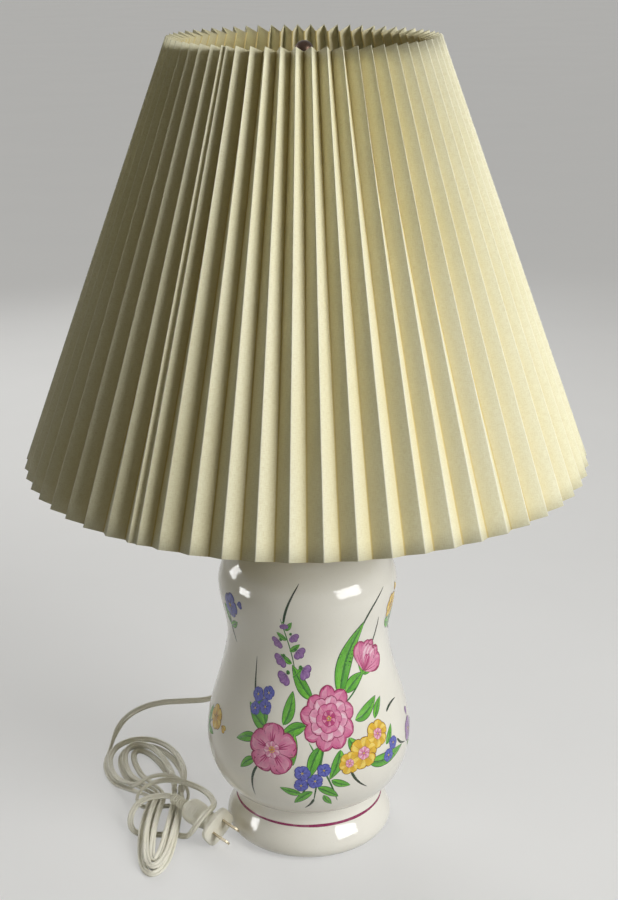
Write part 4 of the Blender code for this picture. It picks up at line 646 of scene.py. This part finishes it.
def plug():
    """Moulded plug: rounded sections lofted along its axis.

    A section's point at angle p is (w |cos p|^(2/n), h |sin p|^(2/n)), with the signs of cos p and sin p. Its half
    width w, half height h and power n follow the neck's rings, the grip, the waist and the flange.
    """
    neck, grip, sides = 0.017, 0.035, 72
    s = np.linspace(0, neck, 60, endpoint=False)
    rings = 0.004 + 0.0006 * np.clip(np.sin(CIRCLE * s / (neck / 6.5) - 0.6) * 1.8, -1, 1)
    marks = neck + grip * np.array([0, 0.03, 0.1, 0.2, 0.42, 0.6, 0.77, 0.88, 0.955, 1])
    wide = from_mm([5, 7.6, 9.3, 10.2, 10, 8.8, 7.4, 9, 12.4, 13.8])
    high = from_mm([4.8, 6.6, 7.8, 8.6, 8.4, 7.5, 6.6, 7.6, 9.8, 10.6])
    loft = np.linspace(neck, neck + grip, 56)
    face = from_mm([(14.4, 11, 52), (15, 11.6, 52.7), (15, 11.6, 55.2), (14.6, 11.2, 55.8), (13.8, 10.4, 56),
                    (0, 0, 56)])
    w = np.concatenate([[0], rings, smooth_through(marks, wide, loft), face[:, 0]])[:, None]
    h = np.concatenate([[0], rings, smooth_through(marks, high, loft), face[:, 1]])[:, None]
    along = np.concatenate([[0], s, loft, face[:, 2]])[:, None]
    squarer = 0.5 * smoothed((loft - neck) / 0.006) + 1.2 * smoothed((loft - neck - grip * 0.8) / (grip * 0.2))
    power = np.concatenate([np.full(1 + len(s), 2), 2 + squarer, np.full(len(face), 4)])[:, None]
    p = np.linspace(0, CIRCLE, sides, endpoint=False) + np.pi / sides
    x = w * np.abs(np.cos(p)) ** (2 / power) * np.sign(np.cos(p))
    y = h * np.abs(np.sin(p)) ** (2 / power) * np.sign(np.sin(p))
    middle = (along > neck + grip * 0.16) & (along < neck + grip * 0.5)
    ridge = np.where(middle, 0.00035 * np.clip(np.sin((along - neck) * CIRCLE / 0.0026), -0.2, 1), 0)
    y = y + ridge * np.sign(np.sin(p)) * smoothed((np.abs(np.sin(p)) - 0.75) / 0.2)
    points = np.stack([x, y, np.broadcast_to(along, x.shape)], axis=-1).reshape(-1, 3)
    turn = Vector(PLUG_RUN).to_track_quat("Z", "Y").to_matrix() @ Matrix.Rotation(np.radians(35), 3, "Z")
    points = points @ np.array(turn).T + PLUG_START
    faces = cells(len(along), sides, False, True)
    return make_piece("plug_housing", points, faces, "ivory_vinyl", "base", ("plug_body",), 50, True)


# ---- body

def body_outline(fine):
    """Outer profile from the collar to the foot's land, as the part's source draws it: a quarter ellipse over the
    shoulder, eased runs down the waist, an ellipse under the belly that tucks in to a crease, and an eased run out to
    the rounded foot."""
    share = np.linspace(0, 1, fine)[:, None]
    quarter = share * np.pi / 2
    dome = np.hstack([COLLAR + (SHOULDER[0] - COLLAR) * np.sin(quarter), SHOULDER[1] + SHOULDER[2] * np.cos(quarter)])
    tuck = (BELLY[0] - FOOT_NECK[0]) * (1 + BELLY_TUCK)
    last = np.arcsin(np.sqrt(1 - (BELLY_TUCK / (1 + BELLY_TUCK)) ** 2)) * share
    belly = np.hstack([BELLY[0] - tuck + tuck * np.cos(last), BELLY[1] - BELLY_DROP * np.sin(last)])
    rim, height = FOOT_RIM
    foot = np.hstack([FOOT_BASE + (rim - FOOT_BASE) * np.cos(quarter), height - height * np.sin(quarter)])
    return np.vstack([dome, eased_run(SHOULDER[:2], WAIST, share)[1:], eased_run(WAIST, BELLY, share)[1:], belly[1:],
                      eased_run(FOOT_NECK, FOOT_RIM, share), foot[1:]])


OUTLINE = body_outline(26)
BY_HEIGHT = OUTLINE[np.argsort(OUTLINE[:, 1])]


def body_radius(height):
    return np.interp(height, BY_HEIGHT[:, 1], BY_HEIGHT[:, 0])


def on_body(around, height, lift):
    """A point on the body: around is metres along its widest girth, height is above the table, and lift is along the
    surface's normal."""
    angle = around / BELLY[0]
    radius = body_radius(height)
    slope = (body_radius(height + 0.001) - body_radius(height - 0.001)) / 0.002
    out = 1 / np.sqrt(1 + slope ** 2)
    r = radius + lift * out
    z = height - lift * slope * out
    return np.stack([r * np.sin(angle), -r * np.cos(angle), z], axis=-1)


def ceramic_body():
    """The hollow body: its outer line, the foot's land and the inner line, turned round the axis. The inner line is the
    outer one moved in along its normals, which are its run turned by a right angle."""
    top = softened([(PIPE_HOLE, BODY_TOP), (COLLAR, BODY_TOP), (COLLAR, BODY_TOP - 0.012)], 0.0015, 4, False)
    outside = np.vstack([top[:-1], OUTLINE])
    land = [(FOOT_BASE - FOOT_LAND, 0), (FOOT_BASE - FOOT_LAND, BODY_WALL)]
    inside = body_outline(9)
    run = unit(np.gradient(inside, axis=0))
    inside = (inside + np.stack([run[:, 1], -run[:, 0]], axis=1) * BODY_WALL)[::-1]
    inside = inside[inside[:, 1] > BODY_WALL * 1.5]
    lid = [(COLLAR - BODY_WALL, BODY_TOP - BODY_WALL), (PIPE_HOLE, BODY_TOP - BODY_WALL)]
    profile = np.vstack([outside, land, inside, lid])
    sides = 160
    piece = turned("glazed_body", profile, sides, "ivory_glaze", "base", ("ceramic_body",), sharp=50)
    bare = np.ones(len(profile))
    bare[:len(outside)] = smoothed((0.0012 - outside[:, 1]) / 0.0008)
    point_values(piece, "bare", np.repeat(bare, sides))


# ---- painted flowers: strokes and their tables are in millimetres

MAGENTA, ROSE, BLUSH = (0.3, 0.008, 0.085), (0.64, 0.06, 0.25), (0.86, 0.44, 0.6)
PURPLE, VIOLET, LILAC = (0.075, 0.015, 0.12), (0.21, 0.065, 0.32), (0.45, 0.26, 0.56)
COBALT, SKY, AZURE = (0.02, 0.016, 0.16), (0.055, 0.06, 0.44), (0.16, 0.2, 0.66)
UMBER, OCHRE, GOLD = (0.2, 0.055, 0.004), (0.7, 0.33, 0.008), (0.88, 0.6, 0.03)
PINE, LEAF, LIME = (0.01, 0.06, 0.012), (0.045, 0.3, 0.02), (0.2, 0.64, 0.04)
INK = (0.012, 0.01, 0.01)
LINE_COLOUR = (0.28, 0.008, 0.09)
PINK_TONES, DEEP_TONES = (MAGENTA, BLUSH, ROSE), (MAGENTA, ROSE, BLUSH)
HEART_TONES, GOLD_TONES = (MAGENTA, MAGENTA, ROSE), (UMBER, OCHRE, GOLD)
BLUE_TONES, BELL_TONES = (COBALT, AZURE, SKY), (PURPLE, LILAC, VIOLET)
PALER = {ROSE: BLUSH, BLUSH: (0.94, 0.7, 0.78), GOLD: (0.95, 0.76, 0.2), SKY: AZURE, VIOLET: LILAC}
FILM = 0.00006


def beside(point, reach, way):
    """The point that lies a reach away in a direction in degrees."""
    way = np.radians(way)
    return point[0] + reach * np.cos(way), point[1] + reach * np.sin(way)


class Brush:
    """Gathers strokes, a row of numbers each. Lengths are in millimetres and directions in degrees."""

    def __init__(self):
        self.rows = []
        self.chance = np.random.default_rng(3)

    def stroke(self, start, turn, length, width, inner, outer, bend=0, full=0.7, layer=0, peak=1.25, side=0):
        self.rows.append((*start, turn, length, width, bend, full, layer, peak, side, *inner, *outer))

    def petal(self, root, way, reach, width, tones, layer):
        """A petal: a dark edge, its body from the heart's colour to the rim's, a paler side and three fine veins."""
        edge, inner, outer = tones
        bend = self.chance.normal(0, 0.04)
        self.stroke(root, way, reach * 1.03, width * 1.13, edge, edge, bend, 0.5, layer, 1.7)
        self.stroke(root, way, reach, width, inner, outer, bend, 0.5, layer + 0.25, 1.7)
        self.stroke(root, way, reach * 0.95, width * 0.42, outer, PALER[outer], bend, 0.6, layer + 0.45, 1.9, 0.9)
        for lean, far in ((-11, 0.62), (0, 0.78), (11, 0.62)):
            self.stroke(root, way + lean, reach * far, width * 0.075, edge, outer, bend, 0.5, layer + 0.65, 0.8)

    def petals(self, centre, radius, count, tones, turn=0, broad=1, layer=1, gap=0.1, spread=360):
        """A ring, or a fan, of petals round a centre."""
        width = CIRCLE * radius * 0.72 / count * broad * spread / 360
        for k in range(count):
            share = k / count if spread == 360 else (k + 0.5) / count - 0.5
            way = turn + spread * share + self.chance.normal(0, 2)
            reach = radius * (1 - gap) * self.chance.uniform(0.93, 1.04)
            self.petal(beside(centre, gap * radius, way), way, reach, width, tones, layer + 0.1 * k)

    def dots(self, centre, radius, count, colour, size, layer):
        for k in range(count):
            x, y = beside(centre, radius, 360 * k / count + 20)
            self.stroke((x - size / 2, y), 0, size, size, colour, colour, 0, 0.45, layer, 1)

    def leaf(self, start, turn, length, width, bend):
        """A leaf: a dark edge, a deep green whole with one light half, a midrib and slanting side veins."""
        for long, wide, inner, outer, full, layer, peak, side in (
                (1.02, width * 1.1 + 0.3, PINE, PINE, 0.75, 0.5, 0.85, 0),
                (1, width, LEAF, LIME, 0.75, 0.8, 0.85, 0),
                (0.98, width * 0.5, LIME, LEAF, 0.75, 1.1, 0.85, 0.62),
                (0.96, width * 0.22, LEAF, PINE, 0.6, 1.1, 0.7, -0.5),
                (0.99, 0.4 + width * 0.03, PINE, LEAF, 0.4, 1.4, 0.6, 0)):
            self.stroke(start, turn, length * long, wide, inner, outer, bend, full, layer, peak, side)
        for share in np.arange(0.18, 0.8, max(0.17, 5.6 / length)):
            root = beside(beside(start, share * length, turn), bend * share ** 2 * length, turn + 90)
            lean = turn + np.degrees(np.arctan(2 * bend * share))
            reach = width * 0.52 * np.sin(np.pi * share ** 0.85)
            for side in (-34, 34):
                self.stroke(root, lean + side, reach, 0.4, PINE, LEAF, 0, 0.4, 1.4, 0.6)

    def stem(self, start, turn, length, width, bend):
        self.stroke(start, turn, length, width, PINE, LEAF, bend, 0.3, 0.2)

    def tendril(self, start, turn, length, bend):
        self.stroke(start, turn, length, 2.3, PINE, INK, bend, 0.45, 0.1, 0.55)

    def paint(self, name):
        """All strokes as thin patches. At share t along and s across, a stroke lies at its start plus t times its
        length, plus bend t^2 times its length sideways, plus side plus s times half its width times
        sin(pi t^peak)^full. It stands highest at s = 0."""
        rows, columns = 21, 5
        table = np.array(self.rows)
        table[:, [0, 1, 3, 4]] *= MM
        x, y, turn, length, width, bend, full, layer, peak, side = (table[:, k, None, None] for k in range(10))
        t = np.linspace(0, 1, rows)[None, :, None]
        s = np.linspace(-1, 1, columns)[None, None, :]
        swell = np.maximum(np.sin(np.pi * np.clip(t, 0.002, 0.998) ** peak), 0) ** full
        along = t * length
        aside = bend * t ** 2 * length + (side + s) * width / 2 * swell
        way = np.radians(turn)
        around = x + along * np.cos(way) - aside * np.sin(way)
        height = y + along * np.sin(way) + aside * np.cos(way)
        points = on_body(around, height, FILM + FILM * layer + 0.00005 * (1 - s ** 2))
        first = np.arange(len(table)) * rows * columns
        faces = (cells(rows, columns)[None] + first[:, None, None]).reshape(-1, 4)
        piece = make_piece(name, points, faces, PAINT, "base", closed=False)
        share = (t * 0.8 + 0.2 * s ** 2)[..., None]
        colour = table[:, None, None, 10:13] * (1 - share) + table[:, None, None, 13:16] * share
        colour = np.broadcast_to(colour, points.shape).reshape(-1, 3)
        point_values(piece, "pigment", np.hstack([colour, np.ones((len(colour), 1))]))
        shape = points.shape[:-1]
        corner_map(piece, "brush", *(np.broadcast_to(way, shape).reshape(-1)[faces]
                                     for way in (along + x * 3, aside + y * 3)))


STEMS = [  # start, direction, length, width, bend
    ((4, 64), 84, 70, 1.9, -0.1), ((-10, 62), 62, 52, 1.8, 0.12), ((24, 62), 108, 58, 1.6, 0.1),
    ((12, 122), 118, 52, 1.3, -0.16), ((-11, 162), 102, 56, 1.1, 0.04), ((30, 140), 26, 44, 1.6, 0.24),
    ((-10, 104), 150, 26, 1.4, -0.2), ((18, 98), 350, 34, 1.4, 0.2),
]
LEAVES = [  # start, direction, length, width, bend
    ((36, 150), 40, 24, 10, -0.2), ((-2, 128), 190, 24, 9.6, 0.25), ((10, 112), 236, 26, 9.2, 0.22),
    ((-22, 128), 60, 26, 9.8, 0.24), ((26, 108), 262, 24, 8.6, -0.25), ((-44, 114), 178, 20, 7.6, 0.3),
    ((30, 148), 80, 62, 15.8, -0.24), ((-34, 122), 160, 27, 9, -0.3), ((50, 93), 336, 40, 10.8, 0.36),
    ((4, 148), 140, 32, 10, -0.25), ((34, 116), 296, 24, 9, 0.2), ((-12, 122), 258, 24, 8.2, 0.2),
    ((3, 74), 208, 19, 6.6, 0.2), ((7, 78), 338, 20, 6.8, -0.2), ((-6, 72), 176, 17, 6, -0.2),
    ((18, 84), 322, 17, 6, 0.2), ((-44, 98), 206, 18, 6.4, 0.25), ((-38, 126), 106, 24, 8, 0.25),
    ((42, 128), 10, 28, 9.2, 0.26), ((-15, 165), 28, 13, 4.6, 0.2), ((-16, 176), 158, 13, 4.6, -0.2),
    ((-18, 187), 22, 12, 4.4, 0.2), ((-20, 197), 156, 11, 4.2, -0.2), ((-21, 206), 38, 10, 4, 0.2),
    ((58, 160), 20, 15, 5.2, -0.2), ((58, 160), 96, 15, 5.2, 0.2), ((62, 124), 62, 18, 6.2, -0.25),
    ((70, 100), 40, 16, 5.4, 0.25), ((12, 70), 292, 13, 4.6, 0.2),
]
TENDRILS = [  # start, direction, length, bend
    ((-22, 212), 84, 32, -0.32), ((54, 202), 68, 36, -0.45), ((-45, 132), 126, 42, -0.45), ((-42, 92), 236, 28, 0.45),
    ((86, 98), 300, 16, 0.5), ((72, 182), 58, 22, 0.4), ((4, 66), 256, 12, -0.4), ((34, 90), 284, 24, 0.45),
    ((78, 124), 36, 18, -0.45),
]
BELLS = [  # centre, direction, radius
    ((-21, 167), 230, 8), ((-6, 172), 320, 7.8), ((-25, 181), 225, 7.4), ((-11, 188), 315, 7), ((-27, 196), 225, 6.2),
    ((-15, 202), 310, 5.8), ((-22, 212), 280, 4.4),
]
BLUE_ONES = [  # centre, radius
    ((-5, 91), 6.2), ((5, 84), 6), ((-6, 80), 5.4), ((12, 93), 5.4), ((-40, 139), 5.8), ((-49, 147), 5.6),
    ((-38, 150), 5.4), ((-50, 136), 5), ((72, 90), 5.6), ((79, 98), 5.2),
]
SPRIGS = [  # centre, direction, petals
    ((-84, 214), 70, 5), ((-98, 112), 40, 5), ((-150, 168), 120, 6), ((-178, 86), 60, 5), ((-225, 205), 80, 5),
    ((100, 208), 110, 6), ((112, 94), 140, 5), ((156, 160), 60, 5), ((196, 98), 110, 6), ((228, 150), 70, 5),
]


def spray(brush):
    """The front's flowers: a wide pink one in the middle, a wild rose low on the left, a bud high on the right, a spike
    of purple bells over them, gold and blue ones low down, and leaves and dark tendrils that reach out from them."""
    for add_one, table in ((brush.stem, STEMS), (brush.leaf, LEAVES), (brush.tendril, TENDRILS)):
        for row in table:
            add_one(*row)
    for centre, turn, radius in BELLS:
        brush.petals(centre, radius * 1.22, 3, BELL_TONES, turn, 1.15, 1.6, 0.05, 130)
        brush.stroke(centre, turn + 180, radius * 0.45, radius * 0.5, PINE, LEAF, 0, 0.5, 2.2)
    wide, rose, bud = (18, 133), (-30, 108), (59, 162)
    for radius, count, tones, turn, layer in ((24.5, 9, PINK_TONES, 12, 2), (17.8, 8, DEEP_TONES, 34, 3.6),
                                              (11.5, 6, PINK_TONES, 8, 5.1), (6.2, 5, HEART_TONES, 40, 6.4)):
        brush.petals(wide, radius, count, tones, turn, 1.1, layer)
    brush.dots(wide, 1.5, 5, GOLD, 1.3, 7.6)
    brush.petals(rose, 20, 5, PINK_TONES, 18, 1, 2)
    brush.petals(rose, 7, 7, DEEP_TONES, 30, 1, 3.2)
    brush.dots(rose, 2.2, 8, GOLD, 1.2, 4.6)
    brush.dots(rose, 0, 1, OCHRE, 2.2, 4.8)
    for radius, count, tones, spread, layer in ((27, 5, PINK_TONES, 116, 2), (23, 3, DEEP_TONES, 62, 3),
                                                (15, 2, HEART_TONES, 34, 4)):
        brush.petals(bud, radius, count, tones, 57, 1.7, layer, 0.04, spread)
    for centre, radius in (((46, 101), 13.5), ((62, 112), 11.2), ((33, 96), 9)):
        brush.petals(centre, radius, 6, GOLD_TONES, 0.9 * radius, 1.06, 2)
        brush.petals(centre, radius * 0.4, 6, DEEP_TONES, 20, 1.1, 3.2)
        brush.dots(centre, 0, 1, GOLD, 1.4, 4.2)
    for number, (centre, radius) in enumerate(BLUE_ONES):
        brush.petals(centre, radius * 1.05, 5, BLUE_TONES, 24 * number, 1, 2.4 + 0.02 * number)
        brush.dots(centre, 0, 1, GOLD, 1.3, 3.6)


def sprig(brush, centre, turn, tones, petals):
    """A small flower on a short stem with three leaves and a bud, for the sides and the back."""
    foot = beside(centre, -22, turn)
    brush.stem(foot, turn, 22, 1.3, 0.1)
    brush.leaf(foot, turn + 48, 18, 6.4, -0.15)
    brush.leaf(foot, turn - 52, 16, 5.8, 0.15)
    brush.leaf(beside(centre, -11, turn), turn + 62, 12, 4.6, 0.2)
    brush.petals(centre, 10.4, petals, tones, turn, 1.02, 2)
    brush.dots(centre, 1, 3, GOLD, 1.4, 3.4)
    bud = beside(centre, 11.5, turn - np.degrees(0.9))
    brush.petals(bud, 7.5, 2, tones, turn - 60, 1.6, 1.5, 0.05, 50)
    brush.tendril(foot, turn + 200, 14, 0.4)


def painting():
    """Flowers on the front, sprigs elsewhere, and a magenta line round the top of the foot."""
    brush = Brush()
    spray(brush)
    tones = (PINK_TONES, BLUE_TONES, GOLD_TONES, BELL_TONES)
    for number, (centre, turn, petals) in enumerate(SPRIGS):
        sprig(brush, centre, turn, tones[(number + 1) % 4], petals)
    brush.paint("painted_flowers")
    rows, sides = 5, 240
    angle = np.linspace(0, CIRCLE, sides, endpoint=False)[None]
    across = np.linspace(-1, 1, rows)[:, None]
    half = 0.00095 + 0.00014 * np.sin(3 * angle + 0.4) + 0.00008 * np.sin(11 * angle)
    height = 0.0288 + 0.00022 * np.sin(2 * angle + 1) + across * half
    points = on_body(angle * BELLY[0], height, FILM + FILM * (1 - across ** 2))
    piece = make_piece("foot_line", points, cells(rows, sides, False, True), PAINT, "base", closed=False)
    point_values(piece, "pigment", np.tile((*LINE_COLOUR, 1), (rows * sides, 1)))
    u = at_corners(np.tile(np.arange(sides + 1) * 0.002, (rows, 1)))
    corner_map(piece, "brush", u, np.broadcast_to(np.array([0, 0, 0.0004, 0.0004]), u.shape))


# ---- shade

def fold_lines():
    """Angle and depth share of each fold, outer ones 0 deep and inner ones 1. An outer one is doubled at the seam."""
    chance = np.random.default_rng(7)
    count = 2 * PLEATS
    angle = np.arange(count) * 180 / PLEATS - 180 + chance.normal(0, 0.11, count)
    deep = np.where(np.arange(count) % 2 == 0, 1 - chance.uniform(0, 0.05, count), 0)
    seam = int(np.argmin(np.abs(angle + 33)))
    doubled = angle[seam] + np.array([-0.95, 0, 0.95])
    angle = np.concatenate([angle[:seam], doubled, angle[seam + 1:]])
    deep = np.concatenate([deep[:seam], [0, 0.4, 0.06], deep[seam + 1:]])
    return np.radians(angle), deep


def pleated_shade():
    """A sheet folded in and out round a cone.

    A fold line runs straight from the lower rim to the upper one. At its depth share d it lies d times the pleat's
    depth inside the cone, square to the cone's face. Each fold is eased over a millimetre, each panel bows a bit.
    """
    angle, deep = fold_lines()
    (r0, z0), (r1, z1) = SHADE_BOTTOM, SHADE_TOP
    lean = np.arctan2(r0 - r1, z1 - z0)
    half = np.pi / PLEATS
    panel = np.hypot(r0 * np.sin(half), PLEAT_DEPTH)
    rims = []
    for r, z in (SHADE_BOTTOM, SHADE_TOP):
        depth = np.sqrt(panel ** 2 - (r * np.sin(half)) ** 2)
        radius = r * (1 - deep * (1 - np.cos(half))) - deep * depth * np.cos(lean)
        height = z - deep * depth * np.sin(lean)
        rims.append(np.stack([radius * np.sin(angle), -radius * np.cos(angle), height], axis=-1))
    rows = 26
    share = np.linspace(0, 1, rows)
    s = share[:, None, None]
    lines = rims[0] * (1 - s) + rims[1] * s
    ease = np.where(deep > 0.5, 0.0011, 0.0008)[:, None]
    folds = rounded(np.roll(lines, 1, axis=1), lines, np.roll(lines, -1, axis=1), ease, 0.4, 4)
    bow = np.random.default_rng(11).normal(0, 0.00016, len(angle))[:, None] * np.sin(np.pi * s)
    out = np.stack([np.sin(angle), -np.cos(angle), np.full(len(angle), np.sin(lean))], axis=-1)
    middle = (folds[:, :, -1] + np.roll(folds[:, :, 0], -1, axis=1)) / 2 + bow * out
    sheet = np.concatenate([folds, middle[:, :, None]], axis=2).reshape(rows, -1, 3)
    along = np.roll(sheet, -1, axis=1) - np.roll(sheet, 1, axis=1)
    inner = sheet - unit(np.cross(along, np.gradient(sheet, axis=0))) * PAPER
    points = np.concatenate([sheet, inner[::-1]]).reshape(-1, 3)
    faces = cells(2 * rows, sheet.shape[1], True, True)
    piece = make_piece("pleated_paper", points, faces, "cream_paper", "shade", ("shade_pleats",))
    # Fold mark for the paper's painted light: -1 on inner folds for painted shade, +1 on outer folds for a painted
    # highlight, strongest on each fold's line and nothing mid-panel.
    fold_light_mark = np.where(deep > 0.5, -1, 1)[:, None] * np.array([0.3, 0.8, 1, 0.8, 0.3, 0])
    point_values(piece, "fold", np.tile(fold_light_mark.reshape(-1), 2 * rows))
    around = np.vstack([sheet[rows // 2], sheet[rows // 2, :1]])
    width = np.concatenate([[0], np.cumsum(np.linalg.norm(np.diff(around, axis=0), axis=1))])
    rise = np.concatenate([share, 1.01 + share, [2.02]]) * (z1 - z0)
    order = -1 if volume(points, faces) < 0 else 1
    corner_map(piece, "paper", *(at_corners(grid)[:, ::order] for grid in np.meshgrid(width, rise)))


def shade_rings():
    """Two rings of round wire in place of the plain ones."""
    for node in ("top_ring", "bottom_ring"):
        low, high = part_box(node)
        middle = (high.x - (high.z - low.z) / 2, (high.z + low.z) / 2)
        turned("wire_" + node, ring_section(0.0015) + middle, 144, "zinc_steel", "shade", (node,), sharp=80)


# ---- fittings

def harp():
    """Bent harp wire with a flat boss at its crown: straight legs, an eased flare and a quarter ellipse each side. Two
    sleeves sit on its legs."""
    leg, widest, foot, crown, straight, boss = 0.029, 0.057, 0.3218, 0.6068, 0.034, 0.007
    wire_radius, step, sides = 0.0019, 0.004, 48
    middle = foot + (crown - foot) * 0.4
    share = np.linspace(0, 1, 24)[:, None]
    quarter = share * np.pi / 2
    flare = eased_run((leg, foot + straight), (widest, middle), share)
    arch = np.hstack([boss + (widest - boss) * np.cos(quarter), middle + (crown - middle) * np.sin(quarter)])
    half = np.vstack([[(leg, foot)], flare, arch[1:], [(0, crown)]])
    side = np.vstack([half * (-1, 1), half[-2::-1]])
    line = evened(np.hstack([np.zeros((len(side), 1)), side]), step)
    across = np.broadcast_to(np.array([1, 0, 0]), line.shape)
    wire, wire_faces = tube_mesh(line, across, ring_section(wire_radius, 14))
    disc = softened(from_mm([(2.5, 609.1), (7, 609.1), (7, 604.5), (2.5, 604.5)]), 0.0007)
    button = spun(disc, sides).reshape(-1, 3)
    button_faces = outward(button, cells(len(disc), sides, True, True))
    faces = np.vstack([outward(wire, wire_faces), button_faces + len(wire)])
    make_piece("harp_wire", np.vstack([wire, button]), faces, "brass", "harp", ("harp_bow",), 45, True)
    for node, body in (("harp_sleeve_front", "sleeve_front"), ("harp_sleeve_rear", "sleeve_rear")):
        low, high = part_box(node)
        outline = softened([(0.00385, high.z), (0.00385, low.z), (0.00225, low.z), (0.00225, high.z)], 0.0006)
        place = Matrix.Translation((0, (low.y + high.y) / 2, 0))
        turned(node + "_turned", outline, 40, "brass", body, (node,), place)


def finial():
    """Turned finial: a button top on a pinched neck over a beaded skirt."""
    low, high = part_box("finial")
    radius = 0.0068
    turn = np.linspace(0, 0.8 * np.pi, 16)
    ball = np.stack([radius * np.sin(turn), high.z - low.z - radius + radius * np.cos(turn)], axis=1)
    skirt = from_mm([(3.6, 6.8), (3.6, 6.2), (5.2, 5.8), (5.2, 5.1), (4.4, 4.7), (4.6, 3.6), (5.6, 2.4), (6.2, 1.2),
                     (6.2, 0.2), (5.8, 0), (3.4, 0), (3.4, 11), (0, 11)])
    profile = np.vstack([ball, skirt]) + (0, low.z)
    turned("turned_finial", profile, 56, "dark_bronze", "finial", ("finial",), closed=False, sharp=35)


def cap_and_neck():
    """Spun brass cap over the body's collar, and the turned neck above it, whose outline is given in shares of its
    flare and its height."""
    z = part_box("body_cap")[0].z + 0.006
    cap = from_mm([(5.4, 11), (12, 11), (13.6, 10.2), (15.2, 7.8), (24, 3.4), (30.5, 2.2), (33.3, 1.2), (34.9, 0),
                   (34.9, -6), (33.3, -6), (33.3, 0), (30.5, 1), (24, 2.2), (15.2, 6.6), (12, 9.8), (5.4, 9.8)])
    turned("spun_cap", softened(cap, 0.0009, 4) + (0, z), 96, "brass", "base", ("body_cap",))
    low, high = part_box("neck_spacer")
    tall, thin, thick, hole = high.z - low.z, 0.007, 0.012, 0.0054
    shares = [(0.92, 1), (0.92, 0.94), (0.66, 0.84), (0, 0.6), (0.25, 0.34), (0.8, 0.16), (1, 0.06), (1, 0)]
    neck = [(thin + (thick - thin) * wide, tall * up) for wide, up in shares] + [(hole, 0), (hole, tall)]
    turned("turned_neck", softened(neck, 0.002, 5) + (0, low.z), 64, "brass", "base", ("neck_spacer",))


def socket():
    """Brass socket: a cap that flares from its hub, and a shell with two beads."""
    base = (0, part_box("socket_cap")[0].z)
    cap = from_mm([(17.4, 25), (17.4, 16.25), (16.5, 13.45), (12.95, 9.25), (8.5, 7.5), (8.5, 0), (5.4, 0), (5.4, 8.4),
                   (8.6, 8.4), (12.5, 10.1), (15.6, 13.9), (16.5, 16.25), (16.5, 25)])
    turned("spun_socket_cap", softened(cap, 0.0007, 3) + base, 72, "brass", "base", ("socket_cap",))
    shell = from_mm([(16.95, 62), (17.4, 61.1), (16.95, 60.2), (16.2, 59.3), (16.2, 28.1), (17.4, 27.4), (17.4, 26),
                     (16.2, 25.3), (16.2, 19), (15.3, 19), (15.3, 62)])
    turned("drawn_socket_shell", softened(shell, 0.0005, 3) + base, 72, "brass", "base", ("socket_shell",))


def bulb():
    """Round bulb: a ball that narrows to its neck along a sine, on a base whose thread is a cosine wave that climbs as
    it goes round."""
    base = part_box("bulb_tip")[0].z
    radius, centre, neck, glass, top = 0.03, 0.076, 0.0116, 0.0008, 0.0265
    turn = np.linspace(0, np.radians(120), 28)
    ball = np.stack([radius * np.sin(turn), centre + radius * np.cos(turn)], axis=1)
    share = np.linspace(0, 1, 14)[1:, None]
    r, z = ball[-1]
    throat = top + (z - top) * 0.25
    narrowing = np.hstack([r + (neck - r) * np.sin(share * np.pi / 2), z + (throat - z) * share])
    outside = np.vstack([ball, narrowing, [(neck, 0.0192)]])
    inside = outside[::-1].copy()
    inside[:, 0] = np.maximum(inside[:, 0] - glass, 0)
    inside[-1] = (0, outside[0, 1] - glass)
    turned("bulb_envelope", np.vstack([outside, inside]) + (0, base), 72, "frosted_glass", "bulb", ("bulb_glass",),
           closed=False, sharp=60)
    sides, foot, pitch = 56, 0.0063, 0.0036
    angle = np.linspace(0, CIRCLE, sides, endpoint=False)[None]
    z = np.linspace(foot, top, 60)[:, None]
    fade = smoothed((z - foot) / 0.002) * smoothed((0.0255 - z) / 0.002)
    wave = 0.0128 + 0.0002 * np.cos(CIRCLE * (z / pitch) - angle) * fade
    thread = spun(np.hstack([np.ones_like(z), z]), sides) * np.stack([wave, wave, np.ones_like(wave)], axis=-1)
    inner = from_mm([(12.1, 26.5), (12.1, 6.8), (9.6, 5), (4.7, 5), (4.7, 4.5), (10, 4.5)])
    grid = np.concatenate([thread, spun(inner, sides)]) + (0, 0, base)
    make_piece("bulb_thread", grid, cells(len(grid), sides, True, True), "aluminium", "bulb", ("bulb_base",), 50)


CAD_FINISHES = {
    "brass": ("harp_saddle", "terminal_screw_front", "terminal_screw_rear", "centre_contact", "switch_shaft",
              "harp_stud"),
    "blade_brass": ("plug_blade_left", "plug_blade_right"),
    "zinc_steel": ("steel_washer", "lock_nut", "threaded_pipe", "bulb_tip", "spider", "shade_strut_1", "shade_strut_2",
                   "shade_strut_3"),
    "aluminium": ("screw_shell",),
    "black_rubber": ("rubber_washer",),
    "grey_fibre": ("insulating_sleeve",),
    "black_phenolic": ("switch_block", "switch_knob", "bulb_insulator"),
}


def dress_cad():
    for finish, nodes in CAD_FINISHES.items():
        for node in nodes:
            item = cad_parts[node]
            item.data.materials.clear()
            item.data.materials.append(FINISHES[finish])


camera()
studio()
cord_piece, cord_line, cord_exit, cord_length = cord()
plug_piece = plug()
cord_inside()
bushing()
ceramic_body()
painting()
pleated_shade()
shade_rings()
harp()
finial()
cap_and_neck()
socket()
bulb()
dress_cad()
